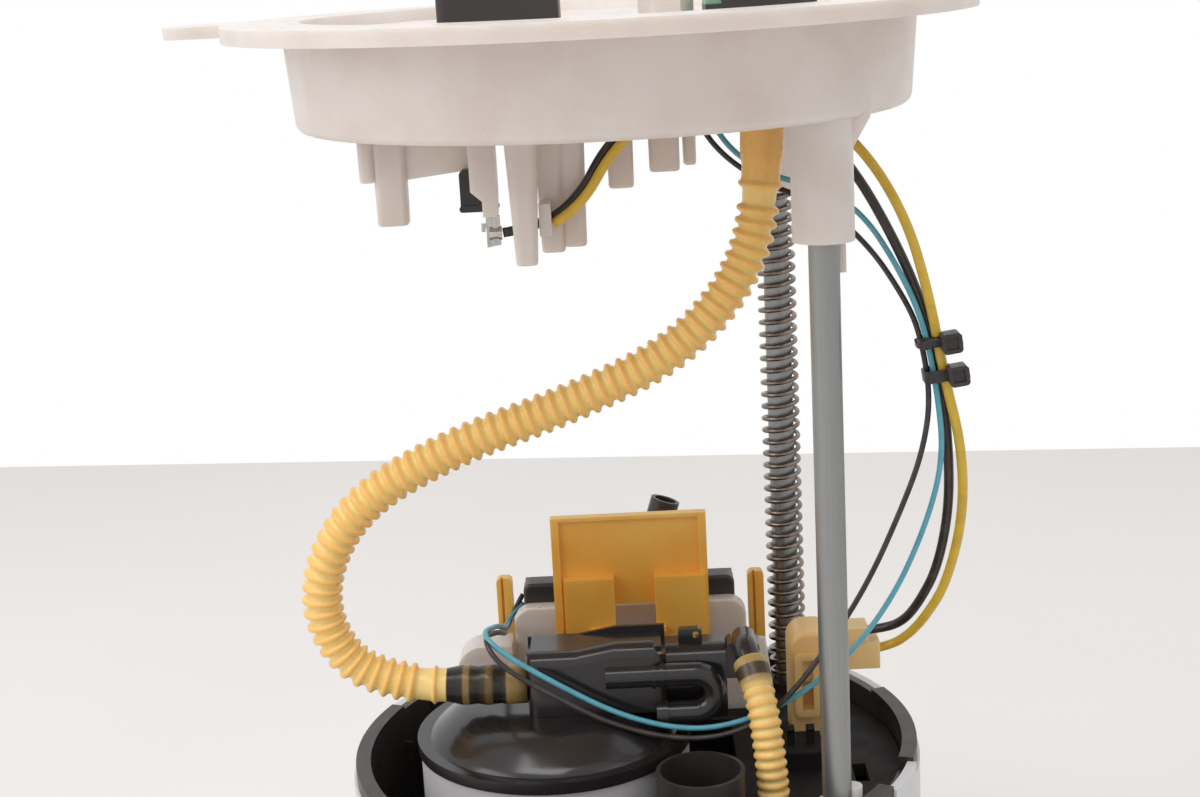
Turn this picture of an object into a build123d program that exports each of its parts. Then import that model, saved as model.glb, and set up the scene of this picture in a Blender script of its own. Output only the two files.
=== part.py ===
from build123d import *

import os
from math import cos, pi, radians, sin, tan

# In-tank fuel pump module: a flange that closes the tank and a reservoir that stands on the
# tank floor. Two guide rods hang from the flange and slide in the reservoir, and a coil spring
# on the rear rod keeps them apart. Millimetres, +Z up, origin at the centre of the reservoir base.

os.makedirs("parts", exist_ok=True)

# ---------------------------------------------------------------- driving dimensions

# Clearances
seat_gap = 0.05  # radial, between pieces of one body that fit into each other
face_gap = 0.05  # between flat faces of one body that seat on each other
moving_gap = 0.3  # between pieces that slide or turn past each other
bore_gap = 0.05  # radial, guide rod in its bush and float axle in its bearing

# Reservoir, from its base to its rim
reservoir_height = 105.0
reservoir_r = 63.1
shell_wall = 1.9
floor_thickness = 2.5
base_chamfer = 1.5
liner_wall = 1.9
rim_ring_r = 62.5
rim_ring_depth = 3.4
rim_step = 0.8  # drop of the shell's bare edge below the ring
left_ring_span = (157.0, 328.6)
right_ring_span = (-17.6, 20.0)
front_gap_span = (328.8, 342.2)
back_gap_span = (20.2, 156.8)
recess_drop = 3.0  # of the liner's edge in the front gap

# Flange, hung above the rim with the module fully extended
flange_lift = 157.7  # rim to the underside of the flange plate
flange_r = 76.8
flange_thickness = 3.2
recess_r = 60.0
recess_depth = 2.6
deck_thickness = 2.6
skirt_top_r = 64.6
skirt_bottom_r = 63.2
skirt_depth = 18.6
skirt_wall = 2.6
skirt_round = 2.0
tab_length = 13.5
tab_width = 18.0
tab_thickness = 2.5
tab_angle = 176.0

# Guide rods and their travel
rod_r = 3.0
front_rod_xy = (41.0, -38.0)
rear_rod_xy = (38.0, 40.0)
slide_travel = 45.0
rod_end_above_floor = 7.5  # left under the rods with the module fully compressed
boss_r = 6.0
boss_drop = 23.2  # skirt's lower edge to the lower end of the rod bosses
boss_bore_depth = 26.0
guide_tube_r = 5.2
bush_r = 4.4
front_tube_drop = 1.0
rear_tube_drop = 8.0
rod_clip_thickness = 1.2
rod_clip_r = 4.1
rod_groove_depth = 0.4

# Spring on the rear rod
spring_outer_r = 4.55
spring_wire_r = 0.55
spring_turns = 41
spring_seat_height = 4.0

# Filter canister and its cap
canister_xy = (-17.5, -10.0)
canister_r = 29.3
canister_wall = 1.8
canister_lift = 16.0  # canister floor above the reservoir base
canister_rise = 4.9  # lower edge of the cap's band above the rim
cap_band_r = 29.9
cap_band_height = 2.5
cap_dome_height = 6.3
cap_dome_points = ((14.0, 6.3), (20.5, 5.1), (25.0, 2.1), (27.2, 0.0))  # radius, rise
cap_wall = 2.0
pump_r = 18.0

# Outlet manifold, all heights above the cap's flat top
manifold_left_x = -22.3
manifold_right_x = 7.5
manifold_front_y = -20.3
manifold_back_y = -7.0
manifold_height = 15.1
manifold_cover_thickness = 1.4
outlet_axis_y = -15.0
outlet_axis_rise = 19.5  # above the rim
main_barb_r = 3.0
main_barb_length = 13.0
main_barb_bore_r = 2.0
crossover_r = 2.5
crossover_wall = 1.0
crossover_bend_r = 4.35
crossover_top_rise = 21.9  # above the rim

crossover_reach_x = 20.1

# Return elbow
elbow_block_x = (20.5, 27.6)
elbow_block_y = (-15.0, -9.0)
elbow_block_rise = (18.5, 26.5)
elbow_r = 2.6
return_barb_r = 2.1

# Open standpipe at the front of the reservoir
standpipe_xy = (13.3, -35.3)
standpipe_r = 9.2
standpipe_wall = 0.9
standpipe_rise = 7.0
standpipe_well = 34.0

# Level sender at the back
bracket_width = 54.8
bracket_front_y = 26.5
bracket_thickness = 4.0
bracket_rise = 21.6
sender_width = 50.2
sender_depth = 12.9
sender_rise = 26.2
sender_axis_rise = 12.0
shield_centre_x = 0.6
shield_width = 36.0
shield_front_y = 22.0
shield_thickness = 2.6
shield_rise = 44.7
shield_height = 30.7
float_plane_y = 68.0
float_arm_reach = (-63.0, -90.0)  # from the axle to the float, across and down
float_arm_r = 1.25
float_r = 12.0
float_length = 20.0
axle_r = 2.0

# Pump plug beside the rods
plug_x = (35.4, 45.6)
plug_y = (2.0, 13.0)
plug_rise = 21.4
deck_rise = -6.0
carrier_thickness = 3.0

# Sockets and nipple on top of the flange
socket_y = -15.0
pump_socket_x = -19.5
pump_socket_size = (24.0, 15.0)
sender_socket_x = 31.7
sender_socket_size = (21.6, 15.0)
socket_height = 20.0
socket_wall = 1.4
nipple_x = 13.4
nipple_collar_r = 5.5
nipple_r = 3.945
nipple_bore_r = 2.6

# Hoses and wires
main_hose_r = 4.2
main_hose_bore_r = 3.3
return_hose_r = 3.3
return_hose_bore_r = 2.4
power_wire_r = 1.02
signal_wire_r = 0.58
bend_share = 0.45
tie_lift = (92.0, 85.2)  # above the rim
tie_width = 2.6
tie_strap = 0.85

# ---------------------------------------------------------------- derived sizes

rim_z = reservoir_height
shell_inner_r = reservoir_r - shell_wall
shell_low_z = rim_z - rim_ring_depth
shell_high_z = rim_z - rim_step
liner_outer_r = shell_inner_r - seat_gap
liner_inner_r = liner_outer_r - liner_wall
liner_floor_z = floor_thickness + face_gap

flange_z = rim_z + flange_lift
flange_top_z = flange_z + flange_thickness
recess_z = flange_top_z - recess_depth
deck_z = recess_z - deck_thickness
skirt_z = flange_z - skirt_depth
boss_z = skirt_z - boss_drop

rod_top_z = boss_z + boss_bore_depth - face_gap
rod_bottom_z = floor_thickness + rod_end_above_floor + slide_travel
rod_clip_z = rod_bottom_z + 2 * rod_clip_thickness
bush_bottom_z = rod_clip_z + rod_clip_thickness + face_gap
bush_bore_r = rod_r + bore_gap
tube_bore_r = bush_r + seat_gap
front_tube_top_z = rim_z - front_tube_drop
rear_tube_top_z = rim_z - rear_tube_drop
spring_seat_z = rear_tube_top_z + face_gap
spring_bottom_z = spring_seat_z + spring_seat_height + face_gap
spring_top_z = boss_z - face_gap

cap_band_z = rim_z + canister_rise
cap_foot_z = cap_band_z + cap_band_height
cap_top_z = cap_foot_z + cap_dome_height
manifold_z = cap_top_z + face_gap
manifold_top_z = manifold_z + manifold_height
outlet_axis_z = rim_z + outlet_axis_rise
crossover_top_z = rim_z + crossover_top_rise
crossover_bottom_z = crossover_top_z - 2 * crossover_bend_r

bracket_back_y = bracket_front_y + bracket_thickness
bracket_top_z = rim_z + bracket_rise
sender_front_y = bracket_back_y + face_gap
sender_back_y = sender_front_y + sender_depth
sender_top_z = rim_z + sender_rise
sender_axis_z = rim_z + sender_axis_rise
deck_top_z = rim_z + deck_rise
deck_bottom_z = deck_top_z - carrier_thickness
on_deck_z = deck_top_z + face_gap
plug_size = (plug_x[1] - plug_x[0], plug_y[1] - plug_y[0])


# ---------------------------------------------------------------- shared shapes


def annular_sector(inner_r, outer_r, span):
    """Face between two radii and two angles in degrees, about the sketch origin."""
    start, end = span
    with BuildSketch() as sector:
        with BuildLine():
            outer = CenterArc((0, 0), outer_r, start, end - start)
            inner = CenterArc((0, 0), inner_r, start, end - start)
            Line(outer @ 0, inner @ 0)
            Line(outer @ 1, inner @ 1)
        make_face()
    return sector.sketch


def at_height(xy, z):
    """Horizontal sketch plane at height z with its origin over the point xy."""
    return Plane(origin=(xy[0], xy[1], z))


def bend_radii(route):
    """Arc radius at each inner point: a share of the shorter run over tan of half the turn."""
    radii = []
    for before, corner, after in zip(route, route[1:], route[2:]):
        run_in = Vector(*corner) - Vector(*before)
        run_out = Vector(*after) - Vector(*corner)
        half_turn = radians(run_in.get_angle(run_out)) / 2
        radii.append(bend_share * min(run_in.length, run_out.length) / tan(half_turn))
    return radii


def tube_along(route, outer_r, inner_r, label):
    """Tube of round section on straight runs joined by tangent arcs; prints its radii."""
    radii = bend_radii(route)
    with BuildPart() as tube:
        with BuildLine():
            path = FilletPolyline(*route, radius=radii)
        with BuildSketch(Plane(origin=path @ 0, z_dir=path % 0)):
            Circle(outer_r)
            if inner_r:
                Circle(inner_r, mode=Mode.SUBTRACT)
        sweep()
    expected = pi * (outer_r**2 - inner_r**2) * path.length
    print(
        label,
        "radii",
        [round(radius, 1) for radius in radii],
        "length",
        round(path.length, 1),
        "volume ratio",
        round(tube.part.volume / expected, 4),
    )
    return tube


def above_rim(route):
    """Route given with heights above the rim, moved to heights above the base."""
    return [(x, y, rim_z + rise) for x, y, rise in route]


# ---------------------------------------------------------------- reservoir

intake_groove_depth = 1.0
intake_groove_size = (26.0, 6.0)
intake_groove_count = 3
valve_xy = (-34.0, 36.0)
valve_hole_r = 2.2

with BuildPart() as reservoir_shell:
    with BuildSketch(Plane.XZ):
        with BuildLine():
            Polyline(
                (0, 0),
                (reservoir_r - base_chamfer, 0),
                (reservoir_r, base_chamfer),
                (reservoir_r, shell_low_z - face_gap),
                (shell_inner_r, shell_low_z - face_gap),
                (shell_inner_r, floor_thickness),
                (0, floor_thickness),
                close=True,
            )
        make_face()
    revolve(axis=Axis.Z)
    # The edge stands higher where the liner's ring leaves it bare.
    with BuildSketch(Plane.XY.offset(shell_low_z - face_gap)):
        for span in (front_gap_span, back_gap_span):
            add(annular_sector(shell_inner_r, reservoir_r, span))
    extrude(amount=shell_high_z - shell_low_z + face_gap)
    # Grooves under the base let fuel reach the foot valve.
    with BuildSketch():
        with PolarLocations(reservoir_r - intake_groove_size[0] / 2, intake_groove_count, 15):
            Rectangle(*intake_groove_size)
    extrude(amount=intake_groove_depth, mode=Mode.SUBTRACT)
    with Locations((*valve_xy, floor_thickness)):
        Hole(valve_hole_r, depth=floor_thickness)
reservoir_shell.part.label = "reservoir_shell"
export_step(reservoir_shell.part, "parts/reservoir_shell.step")

liner_rib_size = (1.2, 1.4)
liner_rib_count = 12
liner_rib_bottom_z = 20.0
liner_slot_width = 1.2
liner_slot_angle = 146.0
liner_slot_depth = 10.0

with BuildPart() as reservoir_liner:
    with BuildSketch(Plane.XY.offset(liner_floor_z)):
        Circle(liner_outer_r)
        Circle(liner_inner_r, mode=Mode.SUBTRACT)
    extrude(amount=rim_z - rim_step - liner_floor_z)
    with BuildSketch(Plane.XY.offset(shell_low_z)):
        for span in (left_ring_span, right_ring_span):
            add(annular_sector(liner_inner_r, rim_ring_r, span))
    extrude(amount=rim_ring_depth)
    # Ribs on the wall carry the inner deck on their upper ends.
    with BuildSketch(Plane.XY.offset(liner_rib_bottom_z)):
        with PolarLocations(liner_inner_r, liner_rib_count, 7):
            Rectangle(2 * liner_rib_size[1], liner_rib_size[0])
        Circle(liner_outer_r, mode=Mode.INTERSECT)
    extrude(amount=deck_bottom_z - face_gap - liner_rib_bottom_z)
    # Guide tubes of the two rods.
    with BuildSketch(Plane.XY.offset(liner_floor_z)):
        with Locations(front_rod_xy):
            Circle(guide_tube_r)
    extrude(amount=front_tube_top_z - liner_floor_z)
    with BuildSketch(Plane.XY.offset(liner_floor_z)):
        with Locations(rear_rod_xy):
            Circle(guide_tube_r)
    extrude(amount=rear_tube_top_z - liner_floor_z)
    with BuildSketch(Plane.XY.offset(liner_floor_z)):
        with Locations(front_rod_xy, rear_rod_xy):
            Circle(tube_bore_r)
    extrude(amount=rim_z - liner_floor_z, mode=Mode.SUBTRACT)
    # Room above the rear tube for the spring and its seat.
    with BuildSketch(at_height(rear_rod_xy, rear_tube_top_z)):
        Circle(guide_tube_r + moving_gap)
    extrude(amount=rim_z - rear_tube_top_z, mode=Mode.SUBTRACT)
    # The wall is lower in the front gap.
    with BuildSketch(Plane.XY.offset(rim_z)):
        add(annular_sector(liner_inner_r - liner_rib_size[1], rim_ring_r, front_gap_span))
    extrude(amount=-recess_drop, mode=Mode.SUBTRACT)
    # A slot through the wall beside the ring's left end.
    slot_x = liner_inner_r * cos(radians(liner_slot_angle))
    slot_y = liner_inner_r * sin(radians(liner_slot_angle))
    with Locations(Location((slot_x, slot_y, rim_z), (0, 0, liner_slot_angle))):
        Box(3 * liner_wall, liner_slot_width, 2 * liner_slot_depth, mode=Mode.SUBTRACT)
reservoir_liner.part.label = "reservoir_liner"
export_step(reservoir_liner.part, "parts/reservoir_liner.step")

# Rubber flap valve in the reservoir floor.
valve_flap_r = 8.0
valve_flap_thickness = 1.2
with BuildPart() as foot_valve:
    with BuildSketch(at_height(valve_xy, intake_groove_depth)):
        Circle(valve_hole_r - seat_gap)
    extrude(amount=floor_thickness + face_gap - intake_groove_depth)
    with BuildSketch(at_height(valve_xy, floor_thickness + face_gap)):
        Circle(valve_flap_r)
    extrude(amount=valve_flap_thickness, taper=20)
foot_valve.part.label = "foot_valve"
export_step(foot_valve.part, "parts/foot_valve.step")

# ---------------------------------------------------------------- guide bushes and rods

bush_ear_length = 4.2
bush_ear_width = 4.2
bush_ear_thickness = 3.0
bush_ear_turn = 36.0
bush_collar_drop = 0.4

with BuildPart() as front_bush:
    with BuildSketch(at_height(front_rod_xy, bush_bottom_z)):
        Circle(bush_r)
    extrude(amount=rim_z - bush_collar_drop - bush_bottom_z)
    # Ear on top of the guide tube, beside the rod.
    ear_z = front_tube_top_z + face_gap
    with BuildSketch(Plane(origin=(*front_rod_xy, ear_z)).rotated((0, 0, bush_ear_turn))):
        with Locations((bush_ear_length / 2, 0)):
            SlotCenterToCenter(bush_ear_length, bush_ear_width)
    extrude(amount=bush_ear_thickness)
    with BuildSketch(at_height(front_rod_xy, bush_bottom_z)):
        Circle(bush_bore_r)
    extrude(amount=ear_z + bush_ear_thickness - bush_bottom_z, mode=Mode.SUBTRACT)
front_bush.part.label = "front_bush"
export_step(front_bush.part, "parts/front_bush.step")

with BuildPart() as rear_bush:
    with BuildSketch(at_height(rear_rod_xy, bush_bottom_z)):
        Circle(bush_r)
        Circle(bush_bore_r, mode=Mode.SUBTRACT)
    extrude(amount=rear_tube_top_z - bush_bottom_z)
rear_bush.part.label = "rear_bush"
export_step(rear_bush.part, "parts/rear_bush.step")

# Collar on the rear guide tube that the spring stands on.
with BuildPart() as spring_seat:
    with BuildSketch(at_height(rear_rod_xy, spring_seat_z)):
        Circle(guide_tube_r)
        Circle(rod_r + moving_gap, mode=Mode.SUBTRACT)
    extrude(amount=spring_seat_height)
spring_seat.part.label = "spring_seat"
export_step(spring_seat.part, "parts/spring_seat.step")

rod_chamfer = 0.6
groove_r = rod_r - rod_groove_depth
for rod_name, rod_xy in (("front_rod", front_rod_xy), ("rear_rod", rear_rod_xy)):
    with BuildPart() as guide_rod:
        with BuildSketch(at_height(rod_xy, rod_bottom_z)):
            Circle(rod_r)
        extrude(amount=rod_top_z - rod_bottom_z)
        chamfer(guide_rod.edges().filter_by(GeomType.CIRCLE), rod_chamfer)
        # Groove of the retaining clip.
        with BuildSketch(at_height(rod_xy, rod_clip_z - face_gap)):
            Circle(rod_r)
            Circle(groove_r, mode=Mode.SUBTRACT)
        extrude(amount=rod_clip_thickness + 2 * face_gap, mode=Mode.SUBTRACT)
    guide_rod.part.label = rod_name
    export_step(guide_rod.part, f"parts/{rod_name}.step")

# Clips that stop the rods under the bushes at full extension.
with BuildPart() as rod_clips:
    for rod_xy in (front_rod_xy, rear_rod_xy):
        with BuildSketch(at_height(rod_xy, rod_clip_z)):
            add(annular_sector(groove_r + seat_gap, rod_clip_r, (-150, 150)))
        extrude(amount=rod_clip_thickness)
rod_clips.part.label = "rod_clips"
export_step(rod_clips.part, "parts/rod_clips.step")

# ---------------------------------------------------------------- spring

spring_pitch = (spring_top_z - spring_bottom_z - 2 * spring_wire_r) / spring_turns
spring_mean_r = spring_outer_r - spring_wire_r
with BuildPart() as spring:
    with BuildLine() as coil:
        centreline = Helix(
            pitch=spring_pitch,
            height=spring_pitch * spring_turns,
            radius=spring_mean_r,
            center=(*rear_rod_xy, spring_bottom_z + spring_wire_r),
        )
    with BuildSketch(Plane(origin=centreline @ 0, z_dir=centreline % 0)):
        Circle(spring_wire_r)
    sweep(path=coil.wires()[0], is_frenet=True)
spring.part.label = "spring"
export_step(spring.part, "parts/spring.step")

# ---------------------------------------------------------------- inner carrier

carrier_r = liner_inner_r - moving_gap
carrier_left_x = 22.5
back_strip_x = (-42.0, 23.0)
back_strip_y = (20.4, 46.0)
frame_wall = 1.6
frame_rise = 2.4
leg_r = 3.0
leg_places = ((50.0, 8.0), (26.0, 47.0), (27.5, -12.0))
hose_hole_r = 4.6
hose_hole_xy = (28.6, -31.8)
slot_pocket = (3.0, 9.0)
pocket_places = ((30.5, 10.0), (49.0, -12.0))
frame_front_y = plug_y[0] - seat_gap - frame_wall
# Step in front of the plug with two hooks on it: x, front y, rise over the deck.
step_x = (32.6, 41.4)
step_front_y = -10.0
step_rise = 4.8
step_round = 1.0
hook_x = ((33.6, 35.2), (37.8, 39.6))
hook_front_y = -7.0
hook_depth = 1.3
hook_rise = 4.4
hook_lip = 0.6

with BuildPart() as inner_carrier:
    with BuildSketch(Plane.XY.offset(deck_bottom_z)):
        with Locations((carrier_left_x, 0)):
            Rectangle(carrier_r, 2 * carrier_r, align=(Align.MIN, Align.CENTER))
        with Locations((back_strip_x[0], back_strip_y[0])):
            Rectangle(
                back_strip_x[1] - back_strip_x[0],
                back_strip_y[1] - back_strip_y[0],
                align=(Align.MIN, Align.MIN),
            )
        Circle(carrier_r, mode=Mode.INTERSECT)
        with Locations(front_rod_xy, rear_rod_xy):
            Circle(guide_tube_r + seat_gap, mode=Mode.SUBTRACT)
        with Locations(standpipe_xy):
            Circle(standpipe_r + moving_gap, mode=Mode.SUBTRACT)
        with Locations(hose_hole_xy):
            Circle(hose_hole_r, mode=Mode.SUBTRACT)
        with Locations(*pocket_places):
            Rectangle(*slot_pocket, mode=Mode.SUBTRACT)
    extrude(amount=carrier_thickness)
    # Low frame around the plug.
    with BuildSketch(Plane.XY.offset(deck_top_z)):
        with Locations(((plug_x[0] + plug_x[1]) / 2, (plug_y[0] + plug_y[1]) / 2)):
            Rectangle(*[length + 2 * (frame_wall + seat_gap) for length in plug_size])
            Rectangle(*[length + 2 * seat_gap for length in plug_size], mode=Mode.SUBTRACT)
    extrude(amount=frame_rise)
    with BuildPart(mode=Mode.PRIVATE) as step:
        with Locations((step_x[0], frame_front_y, deck_top_z)):
            Box(
                step_x[1] - step_x[0],
                frame_front_y - step_front_y,
                step_rise,
                align=(Align.MIN, Align.MAX, Align.MIN),
            )
        fillet(step.edges().group_by(Axis.Z)[-1].sort_by(Axis.Y)[0], step_round)
    add(step.part)
    for left, right in hook_x:
        with BuildSketch(Plane.YZ.offset(left)):
            with BuildLine():
                hook_top = deck_top_z + step_rise + hook_rise
                Polyline(
                    (hook_front_y, deck_top_z + step_rise),
                    (hook_front_y, hook_top - 2 * hook_lip),
                    (hook_front_y - hook_lip, hook_top - hook_lip),
                    (hook_front_y, hook_top),
                    (hook_front_y + hook_depth, hook_top),
                    (hook_front_y + hook_depth, deck_top_z + step_rise),
                    close=True,
                )
            make_face()
        extrude(amount=right - left)
    # Legs down to the reservoir floor.
    with BuildSketch(Plane.XY.offset(floor_thickness + face_gap)):
        with Locations(*leg_places):
            Circle(leg_r)
    extrude(amount=deck_bottom_z - floor_thickness - face_gap)
inner_carrier.part.label = "inner_carrier"
export_step(inner_carrier.part, "parts/inner_carrier.step")

cone_xy = (30.6, 23.4)
cone_foot_r = 3.2
cone_tip_r = 0.9
cone_height = 19.0
with BuildPart() as alignment_cone:
    with Locations((*cone_xy, on_deck_z)):
        Cone(
            cone_foot_r,
            cone_tip_r,
            cone_height,
            align=(Align.CENTER, Align.CENTER, Align.MIN),
        )
alignment_cone.part.label = "alignment_cone"
export_step(alignment_cone.part, "parts/alignment_cone.step")

# ---------------------------------------------------------------- filter canister

canister_top_z = cap_band_z - face_gap
canister_inner_r = canister_r - canister_wall
canister_floor = 2.2
inlet_hole_r = 6.0
stand_count = 3
stand_r = 2.4
stand_inset = 1.0

with BuildPart() as filter_canister:
    with BuildSketch(at_height(canister_xy, canister_lift)):
        Circle(canister_r)
    extrude(amount=canister_top_z - canister_lift)
    with BuildSketch(at_height(canister_xy, canister_lift + canister_floor)):
        Circle(canister_inner_r)
    extrude(amount=canister_top_z - canister_lift - canister_floor, mode=Mode.SUBTRACT)
    with Locations((*canister_xy, canister_lift + canister_floor)):
        Hole(inlet_hole_r, depth=canister_floor)
    # Feet on the reservoir floor.
    with BuildSketch(at_height(canister_xy, floor_thickness + face_gap)):
        with PolarLocations(canister_r - stand_r - stand_inset, stand_count, 90):
            Circle(stand_r)
    extrude(amount=canister_lift - floor_thickness - face_gap)
filter_canister.part.label = "filter_canister"
export_step(filter_canister.part, "parts/filter_canister.step")

# Pleated ring between the canister wall and the pump.
filter_floor_z = canister_lift + canister_floor + face_gap
filter_outer_r = canister_inner_r - moving_gap
filter_inner_r = 20.6
cap_plug_depth = 6.0
filter_headroom = 7.65
filter_height = cap_band_z - cap_plug_depth - filter_headroom - filter_floor_z
pleat_count = 24
pleat_depth = 2.4
with BuildPart() as filter_element:
    with BuildSketch(at_height(canister_xy, filter_floor_z)):
        Circle(filter_outer_r)
        Circle(filter_inner_r, mode=Mode.SUBTRACT)
        with PolarLocations(filter_outer_r, pleat_count):
            Rectangle(2 * pleat_depth, pleat_depth / 2, mode=Mode.SUBTRACT)
    extrude(amount=filter_height)
filter_element.part.label = "filter_element"
export_step(filter_element.part, "parts/filter_element.step")

# Electric pump: steel can with an inlet below and an outlet above.
pump_neck_r = 5.0
pump_outlet_r = 3.6
pump_headroom = 10.15
cap_socket_r = 6.0
cap_socket_depth = 9.0
pump_bottom_z = filter_floor_z + 3.0
pump_top_z = cap_foot_z - cap_wall - cap_socket_depth - pump_headroom
with BuildPart() as fuel_pump:
    with BuildSketch(at_height(canister_xy, pump_bottom_z)):
        Circle(pump_r)
    extrude(amount=pump_top_z - pump_bottom_z)
    fillet(fuel_pump.edges().filter_by(GeomType.CIRCLE), 1.5)
    with BuildSketch(at_height(canister_xy, canister_lift)):
        Circle(pump_neck_r)
    extrude(amount=pump_bottom_z - canister_lift)
    with BuildSketch(at_height(canister_xy, pump_top_z)):
        Circle(pump_outlet_r)
    extrude(amount=cap_band_z - pump_top_z)
fuel_pump.part.label = "fuel_pump"
export_step(fuel_pump.part, "parts/fuel_pump.step")

# Rubber ring that holds the pump inside the filter and damps it.
damper_height = 10.0
with BuildPart() as pump_damper:
    with BuildSketch(at_height(canister_xy, pump_bottom_z + damper_height)):
        Circle(filter_inner_r - seat_gap)
        Circle(pump_r + seat_gap, mode=Mode.SUBTRACT)
    extrude(amount=damper_height)
pump_damper.part.label = "pump_damper"
export_step(pump_damper.part, "parts/pump_damper.step")

strainer_r = 20.0
strainer_height = 9.0
with BuildPart() as suction_strainer:
    with BuildSketch(at_height(canister_xy, floor_thickness + face_gap)):
        Circle(strainer_r)
    extrude(amount=strainer_height)
    fillet(suction_strainer.edges().filter_by(GeomType.CIRCLE), 2.5)
    with BuildSketch(at_height(canister_xy, floor_thickness + face_gap)):
        Circle(pump_neck_r)
    extrude(amount=canister_lift - floor_thickness - 2 * face_gap)
suction_strainer.part.label = "suction_strainer"
export_step(suction_strainer.part, "parts/suction_strainer.step")

cap_plug_r = canister_inner_r - seat_gap
with BuildPart() as filter_cap:
    with BuildSketch(Plane(origin=(*canister_xy, 0), x_dir=(1, 0, 0), z_dir=(0, -1, 0))):
        with BuildLine():
            crown = Line((0, cap_top_z), (cap_dome_points[0][0], cap_top_z))
            shoulder = Spline(
                *[(radius, cap_foot_z + rise) for radius, rise in cap_dome_points],
                tangents=((1, 0), (0.7, -1)),
            )
            Polyline(
                shoulder @ 1,
                (cap_band_r, cap_foot_z),
                (cap_band_r, cap_band_z),
                (cap_plug_r, cap_band_z),
                (cap_plug_r, cap_band_z - cap_plug_depth),
                (cap_plug_r - cap_wall, cap_band_z - cap_plug_depth),
                (cap_plug_r - cap_wall, cap_foot_z - cap_wall),
                (0, cap_foot_z - cap_wall),
                crown @ 0,
            )
        make_face()
    revolve(axis=Axis((*canister_xy, 0), (0, 0, 1)))
    # Socket that takes the pump's outlet.
    with BuildSketch(at_height(canister_xy, cap_foot_z - cap_wall)):
        Circle(cap_socket_r)
    extrude(amount=-cap_socket_depth)
    with BuildSketch(at_height(canister_xy, cap_band_z + face_gap)):
        Circle(pump_outlet_r + seat_gap)
    extrude(amount=-2 * cap_socket_depth, mode=Mode.SUBTRACT)
filter_cap.part.label = "filter_cap"
export_step(filter_cap.part, "parts/filter_cap.step")

# ---------------------------------------------------------------- outlet manifold

manifold_round = 3.0
manifold_step_x = (-11.4, -3.2)
manifold_step = 1.45
scoop_r = 2.6
ridge_left_x = -5.5
seam_x = (4.4, 6.0)
seam_r = 0.35
rear_body_x = 20.4
rear_body_front_y = -15.5
rear_body_rise = (10.0, 25.8)
rear_body_round = 4.0
ridge_y = manifold_front_y + 0.5
cover_y = (-17.3, -8.0)
cover_bed_z = manifold_top_z - manifold_step - manifold_cover_thickness
lower_boss_r = 2.9
lower_boss_length = 2.5

with BuildPart() as outlet_manifold:
    # Front view, rising to the right, drawn through the depth of the body.
    with BuildSketch(Plane.XZ.offset(-manifold_back_y)):
        with BuildLine():
            Polyline(
                (manifold_left_x, manifold_z),
                (manifold_left_x, manifold_top_z - manifold_step),
                (manifold_step_x[0], manifold_top_z - manifold_step),
                (manifold_step_x[1], manifold_top_z),
                (manifold_right_x, manifold_top_z),
                (manifold_right_x, manifold_z),
                close=True,
            )
        make_face()
    extrude(amount=manifold_back_y - manifold_front_y)
    front_top = outlet_manifold.faces().sort_by(Axis.Y)[0].edges()
    fillet(front_top.filter_by(lambda edge: edge.center().Z > manifold_z + 1), manifold_round)
    # Bed of the flat cover, sunk behind the front edge.
    with Locations((manifold_left_x, cover_y[1], cover_bed_z)):
        Box(
            manifold_right_x - manifold_left_x,
            cover_y[1] - cover_y[0],
            2 * (manifold_top_z - cover_bed_z),
            align=(Align.MIN, Align.MAX, Align.MIN),
            mode=Mode.SUBTRACT,
        )
    # Scoop at the right end of the front edge, down to the pipe.
    with BuildSketch(Plane.XZ.offset(-cover_y[0])):
        with Locations((manifold_right_x, manifold_top_z)):
            Circle(scoop_r)
    extrude(amount=cover_y[0] - manifold_front_y, mode=Mode.SUBTRACT)
    # Ridge of the pipe that runs on into the crossover, with its seam rings.
    with BuildSketch(Plane.YZ.offset(ridge_left_x)):
        with Locations((ridge_y, crossover_top_z)):
            Circle(crossover_r)
    extrude(amount=manifold_right_x - ridge_left_x)
    for ring_x in seam_x:
        with BuildSketch(Plane.YZ.offset(ring_x)):
            with Locations((ridge_y, crossover_top_z)):
                Circle(crossover_r + seam_r)
        extrude(amount=2 * seam_r)
    # Boss where the crossover comes back in.
    with BuildSketch(Plane.YZ.offset(manifold_right_x)):
        with Locations((ridge_y, crossover_bottom_z)):
            Circle(lower_boss_r)
    extrude(amount=-lower_boss_length)
    # Rear body to the right, behind the crossover.
    with BuildPart(mode=Mode.PRIVATE) as rear_body:
        with Locations((manifold_right_x, manifold_back_y, rim_z + rear_body_rise[0])):
            Box(
                rear_body_x - manifold_right_x,
                manifold_back_y - rear_body_front_y,
                rear_body_rise[1] - rear_body_rise[0],
                align=(Align.MIN, Align.MAX, Align.MIN),
            )
        fillet(rear_body.edges().group_by(Axis.Z)[-1].sort_by(Axis.Y)[0], rear_body_round)
    add(rear_body.part)
    # Barb of the main hose.
    with BuildSketch(Plane.YZ.offset(manifold_left_x)):
        with Locations((outlet_axis_y, outlet_axis_z)):
            Circle(main_barb_r)
    extrude(amount=-main_barb_length)
    chamfer(outlet_manifold.faces().sort_by(Axis.X)[0].edges(), 0.8)
    with BuildSketch(Plane.YZ.offset(manifold_left_x - main_barb_length)):
        with Locations((outlet_axis_y, outlet_axis_z)):
            Circle(main_barb_bore_r)
    extrude(amount=2 * main_barb_length, mode=Mode.SUBTRACT)
outlet_manifold.part.label = "outlet_manifold"
export_step(outlet_manifold.part, "parts/outlet_manifold.step")

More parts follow.
